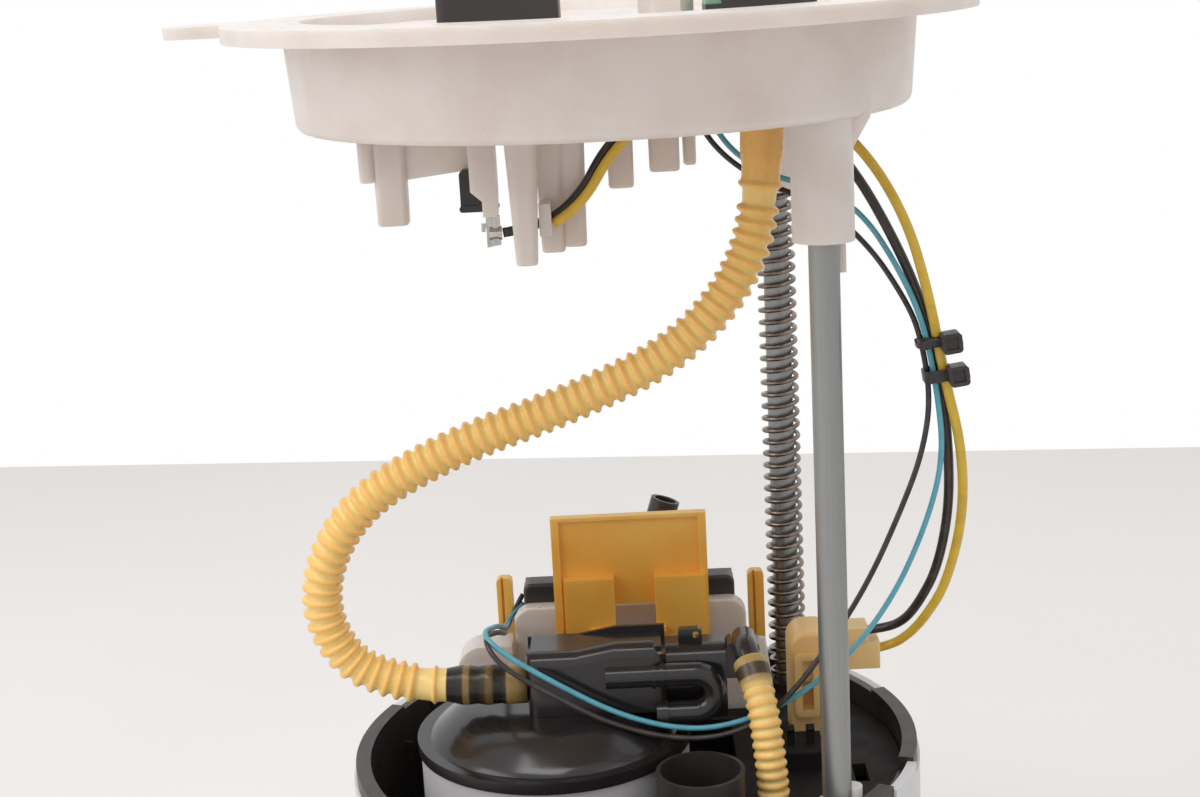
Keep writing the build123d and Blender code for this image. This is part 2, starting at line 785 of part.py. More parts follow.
cover_inset = 0.9
with BuildPart() as manifold_cover:
    with BuildSketch(Plane.XY.offset(cover_bed_z + face_gap)):
        with Locations((manifold_left_x + cover_inset, cover_y[1])):
            Rectangle(
                manifold_right_x - manifold_left_x - 2 * cover_inset,
                cover_y[1] - cover_y[0] - face_gap,
                align=(Align.MIN, Align.MAX),
            )
    extrude(amount=manifold_cover_thickness)
manifold_cover.part.label = "manifold_cover"
export_step(manifold_cover.part, "parts/manifold_cover.step")

crossover_end_x = manifold_right_x + face_gap
crossover_turn_x = crossover_reach_x - crossover_r - crossover_bend_r
with BuildPart() as crossover_pipe:
    with BuildLine() as crossover_path:
        upper = Line(
            (crossover_end_x, ridge_y, crossover_top_z),
            (crossover_turn_x, ridge_y, crossover_top_z),
        )
        with BuildLine(Plane(origin=(0, ridge_y, 0), x_dir=(1, 0, 0), z_dir=(0, -1, 0))):
            ThreePointArc(
                (crossover_turn_x, crossover_top_z),
                (crossover_turn_x + crossover_bend_r, crossover_top_z - crossover_bend_r),
                (crossover_turn_x, crossover_bottom_z),
            )
        Line(
            (crossover_turn_x, ridge_y, crossover_bottom_z),
            (crossover_end_x, ridge_y, crossover_bottom_z),
        )
    with BuildSketch(Plane(origin=upper @ 0, z_dir=upper % 0)):
        Circle(crossover_r)
        Circle(crossover_r - crossover_wall, mode=Mode.SUBTRACT)
    sweep(path=crossover_path.wires()[0])
crossover_pipe.part.label = "crossover_pipe"
export_step(crossover_pipe.part, "parts/crossover_pipe.step")

# Upright lug with an eye, on the rear body.
lug_x = (10.4, 15.5)
lug_y = (-11.4, -9.4)
lug_rise = 28.7
lug_hole_r = 0.75
lug_hole_place = (14.2, 27.4)
with BuildPart() as retaining_lug:
    with Locations((lug_x[0], lug_y[0], rim_z + rear_body_rise[1] + face_gap)):
        Box(
            lug_x[1] - lug_x[0],
            lug_y[1] - lug_y[0],
            lug_rise - rear_body_rise[1],
            align=(Align.MIN, Align.MIN, Align.MIN),
        )
    fillet(retaining_lug.edges().filter_by(Axis.Y).group_by(Axis.Z)[-1], 0.9)
    with BuildSketch(Plane.XZ.offset(-lug_y[1])):
        with Locations((lug_hole_place[0], rim_z + lug_hole_place[1])):
            Circle(lug_hole_r)
    extrude(amount=lug_y[1] - lug_y[0], mode=Mode.SUBTRACT)
retaining_lug.part.label = "retaining_lug"
export_step(retaining_lug.part, "parts/retaining_lug.step")

# Elbow that hands surplus fuel to the return hose: a block and a bent pipe with its barb.
return_start = Vector(25.0, -22.0, 24.9)
return_second = Vector(25.9, -25.4, 22.1)
return_direction = (return_second - return_start).normalized()
elbow_bend_r = 4.0
elbow_run = 3.2
elbow_sink = 2.0
return_barb_length = 4.6
with BuildPart() as return_elbow:
    with Locations((elbow_block_x[0], elbow_block_y[1], rim_z + elbow_block_rise[0])):
        Box(
            elbow_block_x[1] - elbow_block_x[0],
            elbow_block_y[1] - elbow_block_y[0],
            elbow_block_rise[1] - elbow_block_rise[0],
            align=(Align.MIN, Align.MAX, Align.MIN),
        )
    fillet(return_elbow.edges().filter_by(Axis.Y).group_by(Axis.Z)[-1], 1.5)
    barb_root = return_start + Vector(0, 0, rim_z) - return_direction * face_gap
    elbow_corner = barb_root - return_direction * elbow_run
    elbow_foot = Vector(elbow_corner.X, elbow_block_y[0] + elbow_sink, elbow_corner.Z)
    with BuildLine():
        elbow_path = FilletPolyline(
            tuple(elbow_foot), tuple(elbow_corner), tuple(barb_root), radius=elbow_bend_r
        )
    with BuildSketch(Plane(origin=elbow_path @ 0, z_dir=elbow_path % 0)):
        Circle(elbow_r)
    sweep()
    with BuildSketch(Plane(origin=barb_root, z_dir=return_direction)):
        Circle(return_barb_r)
    extrude(amount=return_barb_length)
return_elbow.part.label = "return_elbow"
export_step(return_elbow.part, "parts/return_elbow.step")

# ---------------------------------------------------------------- standpipe and jet pump

partition_thickness = 1.2
partition_drop = 26.0
with BuildPart() as standpipe:
    with BuildSketch(at_height(standpipe_xy, liner_floor_z)):
        Circle(standpipe_r)
    extrude(amount=rim_z + standpipe_rise - liner_floor_z)
    with BuildSketch(at_height(standpipe_xy, liner_floor_z + standpipe_wall)):
        Circle(standpipe_r - standpipe_wall)
    extrude(amount=rim_z + standpipe_rise - liner_floor_z - standpipe_wall, mode=Mode.SUBTRACT)
    # Upright partition below the well.
    with BuildSketch(at_height(standpipe_xy, liner_floor_z)):
        Rectangle(2 * standpipe_r - standpipe_wall, partition_thickness)
    extrude(amount=rim_z - partition_drop - liner_floor_z)
standpipe.part.label = "standpipe"
export_step(standpipe.part, "parts/standpipe.step")

jet_xy = (30.0, -30.5)
jet_body_size = (12.0, 9.0)
jet_body_height = 12.0
jet_neck_height = 9.0
jet_spout_r = 3.0
jet_spout_length = 6.0
with BuildPart() as jet_pump:
    with BuildSketch(at_height(jet_xy, liner_floor_z)):
        RectangleRounded(*jet_body_size, 2.0)
    extrude(amount=jet_body_height)
    with BuildSketch(at_height(jet_xy, liner_floor_z + jet_body_height)):
        Circle(return_barb_r)
    extrude(amount=jet_neck_height)
    with BuildSketch(Plane.XZ.offset(-jet_xy[1] - jet_body_size[1] / 2)):
        with Locations((jet_xy[0], liner_floor_z + jet_body_height / 2)):
            Circle(jet_spout_r)
            Circle(jet_spout_r - 1, mode=Mode.SUBTRACT)
    extrude(amount=-jet_spout_length)
jet_pump.part.label = "jet_pump"
export_step(jet_pump.part, "parts/jet_pump.step")

# ---------------------------------------------------------------- level sender

bracket_round = 4.0
bracket_edge_round = 0.5
with BuildPart() as sender_bracket:
    with BuildSketch(Plane.XZ.offset(-bracket_back_y)) as bracket_face:
        with Locations((0, on_deck_z)):
            Rectangle(bracket_width, bracket_top_z - on_deck_z, align=(Align.CENTER, Align.MIN))
        fillet(bracket_face.vertices().group_by(Axis.Y)[-1], bracket_round)
    extrude(amount=bracket_thickness)
    front_edges = sender_bracket.faces().sort_by(Axis.Y)[0].edges()
    fillet(front_edges.filter_by(lambda edge: edge.center().Z > on_deck_z + 1), bracket_edge_round)
sender_bracket.part.label = "sender_bracket"
export_step(sender_bracket.part, "parts/sender_bracket.step")

axle_depth = 6.0
sender_round = 2.0
sender_edge_round = 0.8
sender_crest_depth = 5.6
sender_shelf_drop = 2.5
sender_shelf_z = sender_top_z - sender_shelf_drop
with BuildPart() as sender_housing:
    with Locations((0, sender_front_y, on_deck_z)):
        Box(
            sender_width,
            sender_depth,
            sender_top_z - on_deck_z,
            align=(Align.CENTER, Align.MIN, Align.MIN),
        )
    fillet(sender_housing.edges().filter_by(Axis.Y).group_by(Axis.Z)[-1], sender_round)
    front_edges = sender_housing.faces().sort_by(Axis.Y)[0].edges()
    fillet(front_edges.filter_by(lambda edge: edge.center().Z > on_deck_z + 1), sender_edge_round)
    # Lower shelf behind the crest.
    with Locations((0, sender_back_y, sender_shelf_z)):
        Box(
            sender_width,
            sender_depth - sender_crest_depth,
            sender_shelf_drop,
            align=(Align.CENTER, Align.MAX, Align.MIN),
            mode=Mode.SUBTRACT,
        )
    with BuildSketch(Plane.XZ.offset(-sender_back_y)):
        with Locations((0, sender_axis_z)):
            Circle(axle_r + bore_gap)
    extrude(amount=axle_depth, mode=Mode.SUBTRACT)
sender_housing.part.label = "sender_housing"
export_step(sender_housing.part, "parts/sender_housing.step")

# Amber shield in front of the bracket: framed plate, two pads and a notch between them.
shield_frame = (1.85, 0.9)  # sides, top
shield_sink = 0.8
pad_x = ((-15.0, -3.3), (6.1, 17.9))
pad_rise = 30.2
pad_depth = 3.0
notch_rise = 23.0
lip_x = ((-9.3, -1.0), (0.6, 8.3))
lip_rise = (17.0, 18.5)
lip_depth = 1.3
stay_x = (-11.0, 11.0)
stay_size = (2.0, 6.0)
shield_bottom_z = rim_z + shield_rise - shield_height
shield_back_y = shield_front_y + shield_thickness
with BuildPart() as sender_shield:
    with Locations((shield_centre_x, shield_back_y, shield_bottom_z)):
        Box(
            shield_width,
            shield_thickness,
            shield_height,
            align=(Align.CENTER, Align.MAX, Align.MIN),
        )
    with Locations((shield_centre_x, shield_front_y + shield_sink, shield_bottom_z)):
        Box(
            shield_width - 2 * shield_frame[0],
            shield_sink,
            shield_height - shield_frame[1],
            align=(Align.CENTER, Align.MAX, Align.MIN),
            mode=Mode.SUBTRACT,
        )
    for left, right in pad_x:
        with Locations((left, shield_front_y + shield_sink, shield_bottom_z)):
            Box(
                right - left,
                pad_depth,
                rim_z + pad_rise - shield_bottom_z,
                align=(Align.MIN, Align.MAX, Align.MIN),
            )
    with Locations((pad_x[0][1], shield_back_y, shield_bottom_z)):
        Box(
            pad_x[1][0] - pad_x[0][1],
            shield_thickness,
            rim_z + notch_rise - shield_bottom_z,
            align=(Align.MIN, Align.MAX, Align.MIN),
            mode=Mode.SUBTRACT,
        )
    for left, right in lip_x:
        with Locations((left, shield_front_y + shield_sink - pad_depth, rim_z + lip_rise[0])):
            Box(
                right - left,
                lip_depth,
                lip_rise[1] - lip_rise[0],
                align=(Align.MIN, Align.MAX, Align.MIN),
            )
    # Stays back to the bracket.
    for x in stay_x:
        with Locations((x, shield_back_y, shield_bottom_z)):
            Box(
                stay_size[0],
                bracket_front_y - face_gap - shield_back_y,
                stay_size[1],
                align=(Align.CENTER, Align.MIN, Align.MIN),
            )
sender_shield.part.label = "sender_shield"
export_step(sender_shield.part, "parts/sender_shield.step")

# Amber posts either side of the sender housing.
sender_post_size = (3.8, 3.0)
sender_post_round = 1.2
groove_x = -0.5
groove_size = (0.6, 1.1)
post_places = {
    "sender_post_left": (-29.9, 36.8, 26.4),
    "sender_post_right": (30.3, 34.4, 26.1),
}
for post_name, (post_x, post_y, post_rise) in post_places.items():
    with BuildPart() as sender_post:
        with BuildSketch(at_height((post_x, post_y), on_deck_z)):
            Rectangle(*sender_post_size)
        extrude(amount=rim_z + post_rise - on_deck_z)
        top_edges = sender_post.edges().filter_by(Axis.Y).group_by(Axis.Z)[-1]
        fillet(top_edges, sender_post_round)
        # Groove down the front, between the two ribs.
        with BuildSketch(at_height((post_x, post_y), on_deck_z)):
            with Locations((groove_x, -sender_post_size[1] / 2)):
                Rectangle(groove_size[0], 2 * groove_size[1])
        extrude(amount=rim_z + post_rise - on_deck_z, mode=Mode.SUBTRACT)
    sender_post.part.label = post_name
    export_step(sender_post.part, f"parts/{post_name}.step")

# White holder left of the sender bracket.
holder_x = (-41.0, -28.0)
holder_y = (21.0, 30.0)
holder_rise = 14.5
holder_round = 6.0
with BuildPart() as side_holder:
    with BuildSketch(Plane.XZ.offset(-holder_y[1])) as holder_face:
        with Locations((holder_x[0], on_deck_z)):
            Rectangle(
                holder_x[1] - holder_x[0],
                rim_z + holder_rise - on_deck_z,
                align=(Align.MIN, Align.MIN),
            )
        fillet(holder_face.vertices().group_by(Axis.Y)[-1].sort_by(Axis.X)[0], holder_round)
    extrude(amount=holder_y[1] - holder_y[0])
side_holder.part.label = "side_holder"
export_step(side_holder.part, "parts/side_holder.step")

# Black pipe that leans out of the top of the sender housing.
transfer_foot = Vector(3.6, 40.6, sender_shelf_z)
transfer_lean = Vector(6.2, 1.0, 0)
transfer_rise = 42.4
transfer_tip = transfer_foot + transfer_lean + Vector(0, 0, rim_z + transfer_rise - sender_shelf_z)
transfer_r = 3.5
transfer_bore_r = 2.6
transfer_direction = (transfer_tip - transfer_foot).normalized()
with BuildPart() as transfer_pipe:
    with BuildSketch(Plane(origin=transfer_tip, z_dir=-transfer_direction)):
        Circle(transfer_r)
        Circle(transfer_bore_r, mode=Mode.SUBTRACT)
    extrude(amount=(transfer_tip - transfer_foot).length + transfer_r)
    split(bisect_by=Plane.XY.offset(sender_shelf_z + face_gap), keep=Keep.TOP)
transfer_pipe.part.label = "transfer_pipe"
export_step(transfer_pipe.part, "parts/transfer_pipe.step")

# ---------------------------------------------------------------- float arm

hub_r = 6.0
hub_thickness = 4.5
hub_front_y = sender_back_y + moving_gap
hub_back_y = hub_front_y + hub_thickness
arm_socket_depth = 3.0
float_centre = Vector(float_arm_reach[0], float_plane_y, sender_axis_z + float_arm_reach[1])
axle_centre = Vector(0, float_plane_y, sender_axis_z)
float_direction = (float_centre - axle_centre).normalized()
float_hole_depth = 4.0

with BuildPart() as float_hub:
    with BuildSketch(Plane.XZ.offset(-hub_back_y)):
        with Locations((0, sender_axis_z)):
            Circle(hub_r)
    extrude(amount=hub_thickness)
    with BuildSketch(Plane.XZ.offset(-hub_front_y)):
        with Locations((0, sender_axis_z)):
            Circle(axle_r)
    extrude(amount=axle_depth)
    with BuildSketch(Plane.XZ.offset(-hub_back_y)):
        with Locations((0, sender_axis_z)):
            Circle(float_arm_r + seat_gap)
    extrude(amount=arm_socket_depth, mode=Mode.SUBTRACT)
float_hub.part.label = "float_hub"
export_step(float_hub.part, "parts/float_hub.step")

arm_start = Vector(0, hub_back_y - arm_socket_depth + face_gap, sender_axis_z)
arm_end = float_centre - float_direction * (float_r - float_hole_depth + face_gap)
arm_bend_r = 6.0
with BuildPart() as float_arm:
    with BuildLine():
        arm_path = FilletPolyline(
            tuple(arm_start), tuple(axle_centre), tuple(arm_end), radius=arm_bend_r
        )
    with BuildSketch(Plane(origin=arm_path @ 0, z_dir=arm_path % 0)):
        Circle(float_arm_r)
    sweep()
float_arm.part.label = "float_arm"
export_step(float_arm.part, "parts/float_arm.step")

with BuildPart() as float_body:
    with BuildSketch(Plane(origin=float_centre + Vector(0, float_length / 2, 0), z_dir=(0, -1, 0))):
        Circle(float_r)
    extrude(amount=float_length)
    fillet(float_body.edges().filter_by(GeomType.CIRCLE), 2.0)
    with BuildSketch(
        Plane(origin=float_centre - float_direction * float_r, z_dir=float_direction)
    ):
        Circle(float_arm_r + seat_gap)
    extrude(amount=float_hole_depth, mode=Mode.SUBTRACT)
float_body.part.label = "float_body"
export_step(float_body.part, "parts/float_body.step")

# ---------------------------------------------------------------- pump plug

plug_round = 4.0
plug_edge_round = 0.8
latch_round = 1.5
plug_window_x = (37.6, 40.6)
plug_window_rise = (3.5, 10.0)
plug_window_depth = 3.0
latch_x = (36.3, 42.0)
latch_rise = (2.0, 17.0)
latch_bar = 1.6
latch_depth = 1.4
entry_r = 1.5
entry_depth = 3.2
upper_plug_x = (plug_x[1] + face_gap, 53.0)
lower_plug_x = (plug_x[1] + face_gap, 55.5)
wing_y = (1.6, 8.4)
lower_plug_rise = (12.6, 18.8)
upper_plug_rise = (18.85, 22.2)
lower_entry = (4.7, 16.0)  # across, above the rim
upper_entry = (4.8, 20.5)

with BuildPart() as plug_housing:
    with BuildSketch(Plane.XZ.offset(-plug_y[1])) as plug_face:
        with Locations((plug_x[0], on_deck_z)):
            Rectangle(plug_size[0], rim_z + plug_rise - on_deck_z, align=(Align.MIN, Align.MIN))
        fillet(plug_face.vertices().group_by(Axis.Y)[-1], plug_round)
    extrude(amount=plug_size[1])
    fillet(plug_housing.faces().sort_by(Axis.Y)[0].edges(), plug_edge_round)
    with Locations((plug_window_x[0], plug_y[0], rim_z + plug_window_rise[0])):
        Box(
            plug_window_x[1] - plug_window_x[0],
            plug_window_depth,
            plug_window_rise[1] - plug_window_rise[0],
            align=(Align.MIN, Align.MIN, Align.MIN),
            mode=Mode.SUBTRACT,
        )
    # Latch frame on the front face.
    with BuildSketch(Plane.XZ.offset(-plug_y[0])):
        with Locations((latch_x[0], rim_z + latch_rise[0])):
            RectangleRounded(
                latch_x[1] - latch_x[0],
                latch_rise[1] - latch_rise[0],
                latch_round,
                align=(Align.MIN, Align.MIN),
            )
        with Locations((latch_x[0] + latch_bar, rim_z + latch_rise[0] + latch_bar)):
            Rectangle(
                latch_x[1] - latch_x[0] - 2 * latch_bar,
                latch_rise[1] - latch_rise[0] - 2 * latch_bar,
                align=(Align.MIN, Align.MIN),
                mode=Mode.SUBTRACT,
            )
    extrude(amount=latch_depth)
plug_housing.part.label = "plug_housing"
export_step(plug_housing.part, "parts/plug_housing.step")


def plug_wing(span_x, span_rise, entry):
    """Side piece of the plug with a round wire entry in its right face."""
    with BuildPart() as wing:
        with Locations((span_x[0], wing_y[0], rim_z + span_rise[0])):
            Box(
                span_x[1] - span_x[0],
                wing_y[1] - wing_y[0],
                span_rise[1] - span_rise[0],
                align=(Align.MIN, Align.MIN, Align.MIN),
            )
        with BuildSketch(Plane.YZ.offset(span_x[1])):
            with Locations((entry[0], rim_z + entry[1])):
                Circle(entry_r)
        extrude(amount=-entry_depth, mode=Mode.SUBTRACT)
    return wing.part


lower_plug = plug_wing(lower_plug_x, lower_plug_rise, lower_entry)
lower_plug.label = "lower_plug"
export_step(lower_plug, "parts/lower_plug.step")
upper_plug = plug_wing(upper_plug_x, upper_plug_rise, upper_entry)
upper_plug.label = "upper_plug"
export_step(upper_plug, "parts/upper_plug.step")

# ---------------------------------------------------------------- flange

rim_slope = 1.0
tab_round = 5.0
gusset = ((44.0, 4.0), (50.2, 4.0), (50.2, 0.0), (46.6, -6.1), (44.0, -6.1))  # x, rise over skirt
gusset_thickness = 2.5
tongue_size = (1.2, 3.0, 6.6)
tongue_xy = (44.8, -35.3)
duct_width = 7.0
duct_height = 6.0
supply_xy = (31.6, -18.0)
supply_collar_r = 4.4
supply_barb_r = 3.0
supply_bore_r = 2.0
duct_bore_r = 1.6
supply_collar_length = 13.45
supply_barb_length = 6.25
supply_collar_z = deck_z - supply_collar_length
supply_barb_z = supply_collar_z - supply_barb_length
# Posts under the deck: left and right x, front and back y, lower end above the rim, draft.
posts = (
    (-51.6, -48.4, -3.0, 3.0, 127.0, 0.6),
    (-48.5, -42.0, -2.5, 2.5, 117.7, 0.9),
    (-19.2, -14.8, -15.5, -12.2, 110.0, 2.6),
    (-14.2, -9.3, -5.8, -2.2, 111.0, 1.2),
    (-9.5, -4.8, -5.8, -2.2, 112.0, 1.2),
    (0.3, 5.6, -2.5, 2.5, 123.3, 0.6),
    (9.0, 15.3, -2.5, 2.5, 126.3, 0.6),
    (16.2, 18.9, 1.2, 4.4, 127.0, 0.6),
)
post_round = 1.2
post_end_round = 0.7
# Web from the tall left post to the terminal's holder, lower on the left.
web_x = (-44.0, -26.0)
web_y = (-1.0, 1.0)
web_rise = (127.0, 128.9)
# Holder of the terminal, narrower below its slanted shoulder.
holder_post_x = (-28.0, -22.5)
holder_post_y = (-11.0, -6.0)
holder_neck_x = (-25.7, -22.7)
holder_shoulder_rise = (125.2, 123.1)
holder_end_rise = 119.9
# Bosses over the upper ends of the thin wires: x, y, radius, lower end above the rim.
wire_bosses = ((20.4, -2.0, 1.8, 147.0), (17.4, -0.6, 1.8, 147.0))
# Holder of the yellow wire and the arm that carries it over the black one: x, y, rise.
yellow_holder = (
    ((-14.2, -11.7), (-12.5, -9.7), (115.6, 122.2)),
    ((-14.2, -11.7), (-12.5, -5.8), (120.4, 122.2)),
)

with BuildPart() as flange:
    with BuildSketch(Plane.XZ):
        with BuildLine():
            Polyline(
                (0, deck_z),
                (skirt_top_r - skirt_wall, deck_z),
                (skirt_bottom_r - skirt_wall, skirt_z),
                (skirt_bottom_r, skirt_z),
                (skirt_top_r, flange_z),
                (flange_r, flange_z),
                (flange_r, flange_top_z),
                (recess_r + rim_slope, flange_top_z),
                (recess_r, recess_z),
                (0, recess_z),
                close=True,
            )
        make_face()
    revolve(axis=Axis.Z)
    fillet(flange.edges().group_by(Axis.Z)[0].sort_by(SortBy.LENGTH)[-1], skirt_round)
    # Locating tab, flush with the top of the rim.
    with BuildSketch(Plane.XY.offset(flange_top_z).rotated((0, 0, tab_angle))) as tab_face:
        with Locations((recess_r + 2 * rim_slope, 0)):
            Rectangle(
                flange_r + tab_length - recess_r - 2 * rim_slope,
                tab_width,
                align=(Align.MIN, Align.CENTER),
            )
        fillet(tab_face.vertices().group_by(Axis.X)[-1], tab_round)
    extrude(amount=-tab_thickness)
    # Rod bosses.
    with BuildSketch(Plane.XY.offset(deck_z)):
        with Locations(front_rod_xy, rear_rod_xy):
            Circle(boss_r)
    extrude(amount=boss_z - deck_z)
    with BuildSketch(Plane.XZ.offset(gusset_thickness / 2 - front_rod_xy[1])):
        with BuildLine():
            Polyline(*[(x, skirt_z + rise) for x, rise in gusset], close=True)
        make_face()
    extrude(amount=-gusset_thickness)
    with BuildSketch(Plane.XY.offset(boss_z)):
        with Locations(front_rod_xy, rear_rod_xy):
            Circle(rod_r + seat_gap)
    extrude(amount=boss_bore_depth, mode=Mode.SUBTRACT)
    with Locations((*tongue_xy, boss_z)):
        Box(*tongue_size, align=(Align.CENTER, Align.CENTER, Align.MAX))
    # Posts that carry the terminals and wires.
    for left, right, front, back, low, draft in posts:
        with BuildPart(mode=Mode.PRIVATE) as post:
            middle = ((left + right) / 2, (front + back) / 2)
            with BuildSketch(at_height(middle, rim_z + low)):
                RectangleRounded(right - left, back - front, post_round)
            extrude(amount=deck_z - rim_z - low, taper=-draft)
            fillet(post.edges().group_by(Axis.Z)[0], post_end_round)
        add(post.part)
    with BuildSketch(Plane.XZ.offset(-web_y[1])):
        with BuildLine():
            Polyline(
                (web_x[0], deck_z),
                (web_x[0], rim_z + web_rise[0]),
                (web_x[1], rim_z + web_rise[1]),
                (web_x[1], deck_z),
                close=True,
            )
        make_face()
    extrude(amount=web_y[1] - web_y[0])
    with BuildSketch(Plane.XZ.offset(-holder_post_y[1])):
        with BuildLine():
            Polyline(
                (holder_post_x[0], deck_z),
                (holder_post_x[0], rim_z + holder_shoulder_rise[0]),
                (holder_neck_x[0], rim_z + holder_shoulder_rise[1]),
                (holder_neck_x[0], rim_z + holder_end_rise),
                (holder_neck_x[1], rim_z + holder_end_rise),
                (holder_post_x[1], rim_z + holder_shoulder_rise[0]),
                (holder_post_x[1], deck_z),
                close=True,
            )
        make_face()
    extrude(amount=holder_post_y[1] - holder_post_y[0])
    for span_x, span_y, span_rise in yellow_holder:
        with Locations((span_x[0], span_y[0], rim_z + span_rise[0])):
            Box(
                *[end - start for start, end in (span_x, span_y, span_rise)],
                align=(Align.MIN, Align.MIN, Align.MIN),
            )
    for x, y, radius, low in wire_bosses:
        with BuildSketch(at_height((x, y), rim_z + low)):
            Circle(radius)
        extrude(amount=deck_z - rim_z - low)
    # Duct from the outlet nipple to the supply barb.
    duct_dx = supply_xy[0] - nipple_x
    duct_dy = supply_xy[1] - socket_y
    duct_turn = Vector(1, 0, 0).get_signed_angle(Vector(duct_dx, duct_dy, 0))
    duct_middle = (nipple_x + duct_dx / 2, socket_y + duct_dy / 2)
    with BuildSketch(at_height(duct_middle, deck_z).rotated((0, 0, duct_turn))):
        SlotCenterToCenter(Vector(duct_dx, duct_dy, 0).length, duct_width)
    extrude(amount=-duct_height)
    with BuildSketch(at_height(supply_xy, supply_collar_z)):
        Circle(supply_collar_r)
    extrude(amount=supply_collar_length)
    with BuildSketch(at_height(supply_xy, supply_barb_z)):
        Circle(supply_barb_r)
    extrude(amount=supply_barb_length)
    # Fuel way through the barb, the duct and the nipple's seat.
    with BuildSketch(at_height(supply_xy, supply_barb_z)):
        Circle(supply_bore_r)
    extrude(amount=deck_z - duct_height / 2 - supply_barb_z, mode=Mode.SUBTRACT)
    duct_start = (*supply_xy, deck_z - duct_height / 2)
    with BuildSketch(Plane(origin=duct_start, z_dir=(-duct_dx, -duct_dy, 0))):
        Circle(duct_bore_r)
    extrude(amount=Vector(duct_dx, duct_dy, 0).length, mode=Mode.SUBTRACT)
    nipple_bore_z = deck_z - duct_height / 2 - duct_bore_r / 2
    with BuildSketch(at_height((nipple_x, socket_y), nipple_bore_z)):
        Circle(nipple_bore_r)
    extrude(amount=recess_z - nipple_bore_z, mode=Mode.SUBTRACT)
flange.part.label = "flange"
export_step(flange.part, "parts/flange.step")

# Quick-connect nipple: hexagon foot, barrel and a beaded end.
nipple_foot_height = 4.0
nipple_barrel_r = 4.45
nipple_barrel_height = 4.0
nipple_end_height = 14.0
nipple_bead_r = 4.9
nipple_bead_height = 1.6
nipple_bead_lift = 9.0
nipple_z = recess_z + face_gap
with BuildPart() as outlet_nipple:
    with BuildSketch(at_height((nipple_x, socket_y), nipple_z)):
        RegularPolygon(nipple_collar_r, 6)
    extrude(amount=nipple_foot_height)
    with BuildSketch(at_height((nipple_x, socket_y), nipple_z)):
        Circle(nipple_barrel_r)
    extrude(amount=nipple_foot_height + nipple_barrel_height)
    with BuildSketch(at_height((nipple_x, socket_y), nipple_z)):
        Circle(nipple_r)
    extrude(amount=nipple_foot_height + nipple_barrel_height + nipple_end_height)
    chamfer(outlet_nipple.faces().sort_by(Axis.Z)[-1].edges(), 0.7)
    bead_z = nipple_z + nipple_foot_height + nipple_bead_lift
    with BuildSketch(at_height((nipple_x, socket_y), bead_z)):
        Circle(nipple_bead_r)
    extrude(amount=nipple_bead_height)
    with BuildSketch(at_height((nipple_x, socket_y), nipple_z)):
        Circle(nipple_bore_r)
    extrude(
        amount=nipple_foot_height + nipple_barrel_height + nipple_end_height, mode=Mode.SUBTRACT
    )
outlet_nipple.part.label = "outlet_nipple"
export_step(outlet_nipple.part, "parts/outlet_nipple.step")

# ---------------------------------------------------------------- electrical sockets

socket_floor = 4.0
socket_z = recess_z + face_gap
socket_round = 2.0
pin_height = 10.0
pump_pin_size = (2.8, 0.8)
pump_pin_x = (-4.6, 4.6)
sender_pin_size = (1.5, 0.6)
sender_pin_x = (-4.5, -1.5, 1.5, 4.5)
lock_width = (3.3, 2.5)
lock_y_size = 11.0
lock_lift = 2.2
lock_height = 15.0


def socket_body(x, size, cavity_size):
    """Open-topped socket on the flange with rounded corners."""
    with BuildPart() as body:
        with BuildSketch(at_height((x, socket_y), socket_z)):
            RectangleRounded(*size, socket_round)
        extrude(amount=socket_height)
        with BuildSketch(at_height((x, socket_y), socket_z + socket_floor)):
            RectangleRounded(*cavity_size, socket_round / 2)
        extrude(amount=socket_height - socket_floor, mode=Mode.SUBTRACT)
    return body.part


def socket_pins(x, pin_size, places):
    """Row of blade pins that stand on a plate in the floor of a socket."""
    floor_z = socket_z + socket_floor + face_gap
    with BuildPart() as pins:
        with BuildSketch(at_height((x, socket_y), floor_z)):
            Rectangle(2 * places[-1] + 2 * pin_size[0], 4 * pin_size[1])
        extrude(amount=pin_size[1])
        with BuildSketch(at_height((x, socket_y), floor_z)):
            with Locations(*[(place, 0) for place in places]):
                Rectangle(*pin_size)
        extrude(amount=pin_height)
    return pins.part


pump_cavity = (pump_socket_size[0] - 2 * socket_wall, pump_socket_size[1] - 2 * socket_wall)
pump_socket = socket_body(pump_socket_x, pump_socket_size, pump_cavity)
pump_socket.label = "pump_socket"
export_step(pump_socket, "parts/pump_socket.step")
pump_pins = socket_pins(pump_socket_x, pump_pin_size, pump_pin_x)
pump_pins.label = "pump_pins"
export_step(pump_pins, "parts/pump_pins.step")

# The sender socket has a low foot at each end that carries a lock.
sender_cavity_width = sender_socket_size[0] - sum(lock_width) - 2 * socket_wall
sender_cavity = (sender_cavity_width, sender_socket_size[1] - 2 * socket_wall)
lock_mid_x = sender_socket_x + (lock_width[0] - lock_width[1]) / 2
with BuildPart() as sender_socket:
    with BuildSketch(at_height((sender_socket_x, socket_y), socket_z)):
        Rectangle(*sender_socket_size)
    extrude(amount=lock_lift)
    with BuildSketch(at_height((lock_mid_x, socket_y), socket_z)):
        Rectangle(sender_socket_size[0] - sum(lock_width), sender_socket_size[1])
    extrude(amount=socket_height)
    with BuildSketch(at_height((lock_mid_x, socket_y), socket_z + socket_floor)):
        RectangleRounded(*sender_cavity, socket_round / 2)
    extrude(amount=socket_height - socket_floor, mode=Mode.SUBTRACT)
sender_socket.part.label = "sender_socket"
export_step(sender_socket.part, "parts/sender_socket.step")
sender_pins = socket_pins(lock_mid_x, sender_pin_size, sender_pin_x)
sender_pins.label = "sender_pins"
export_step(sender_pins, "parts/sender_pins.step")

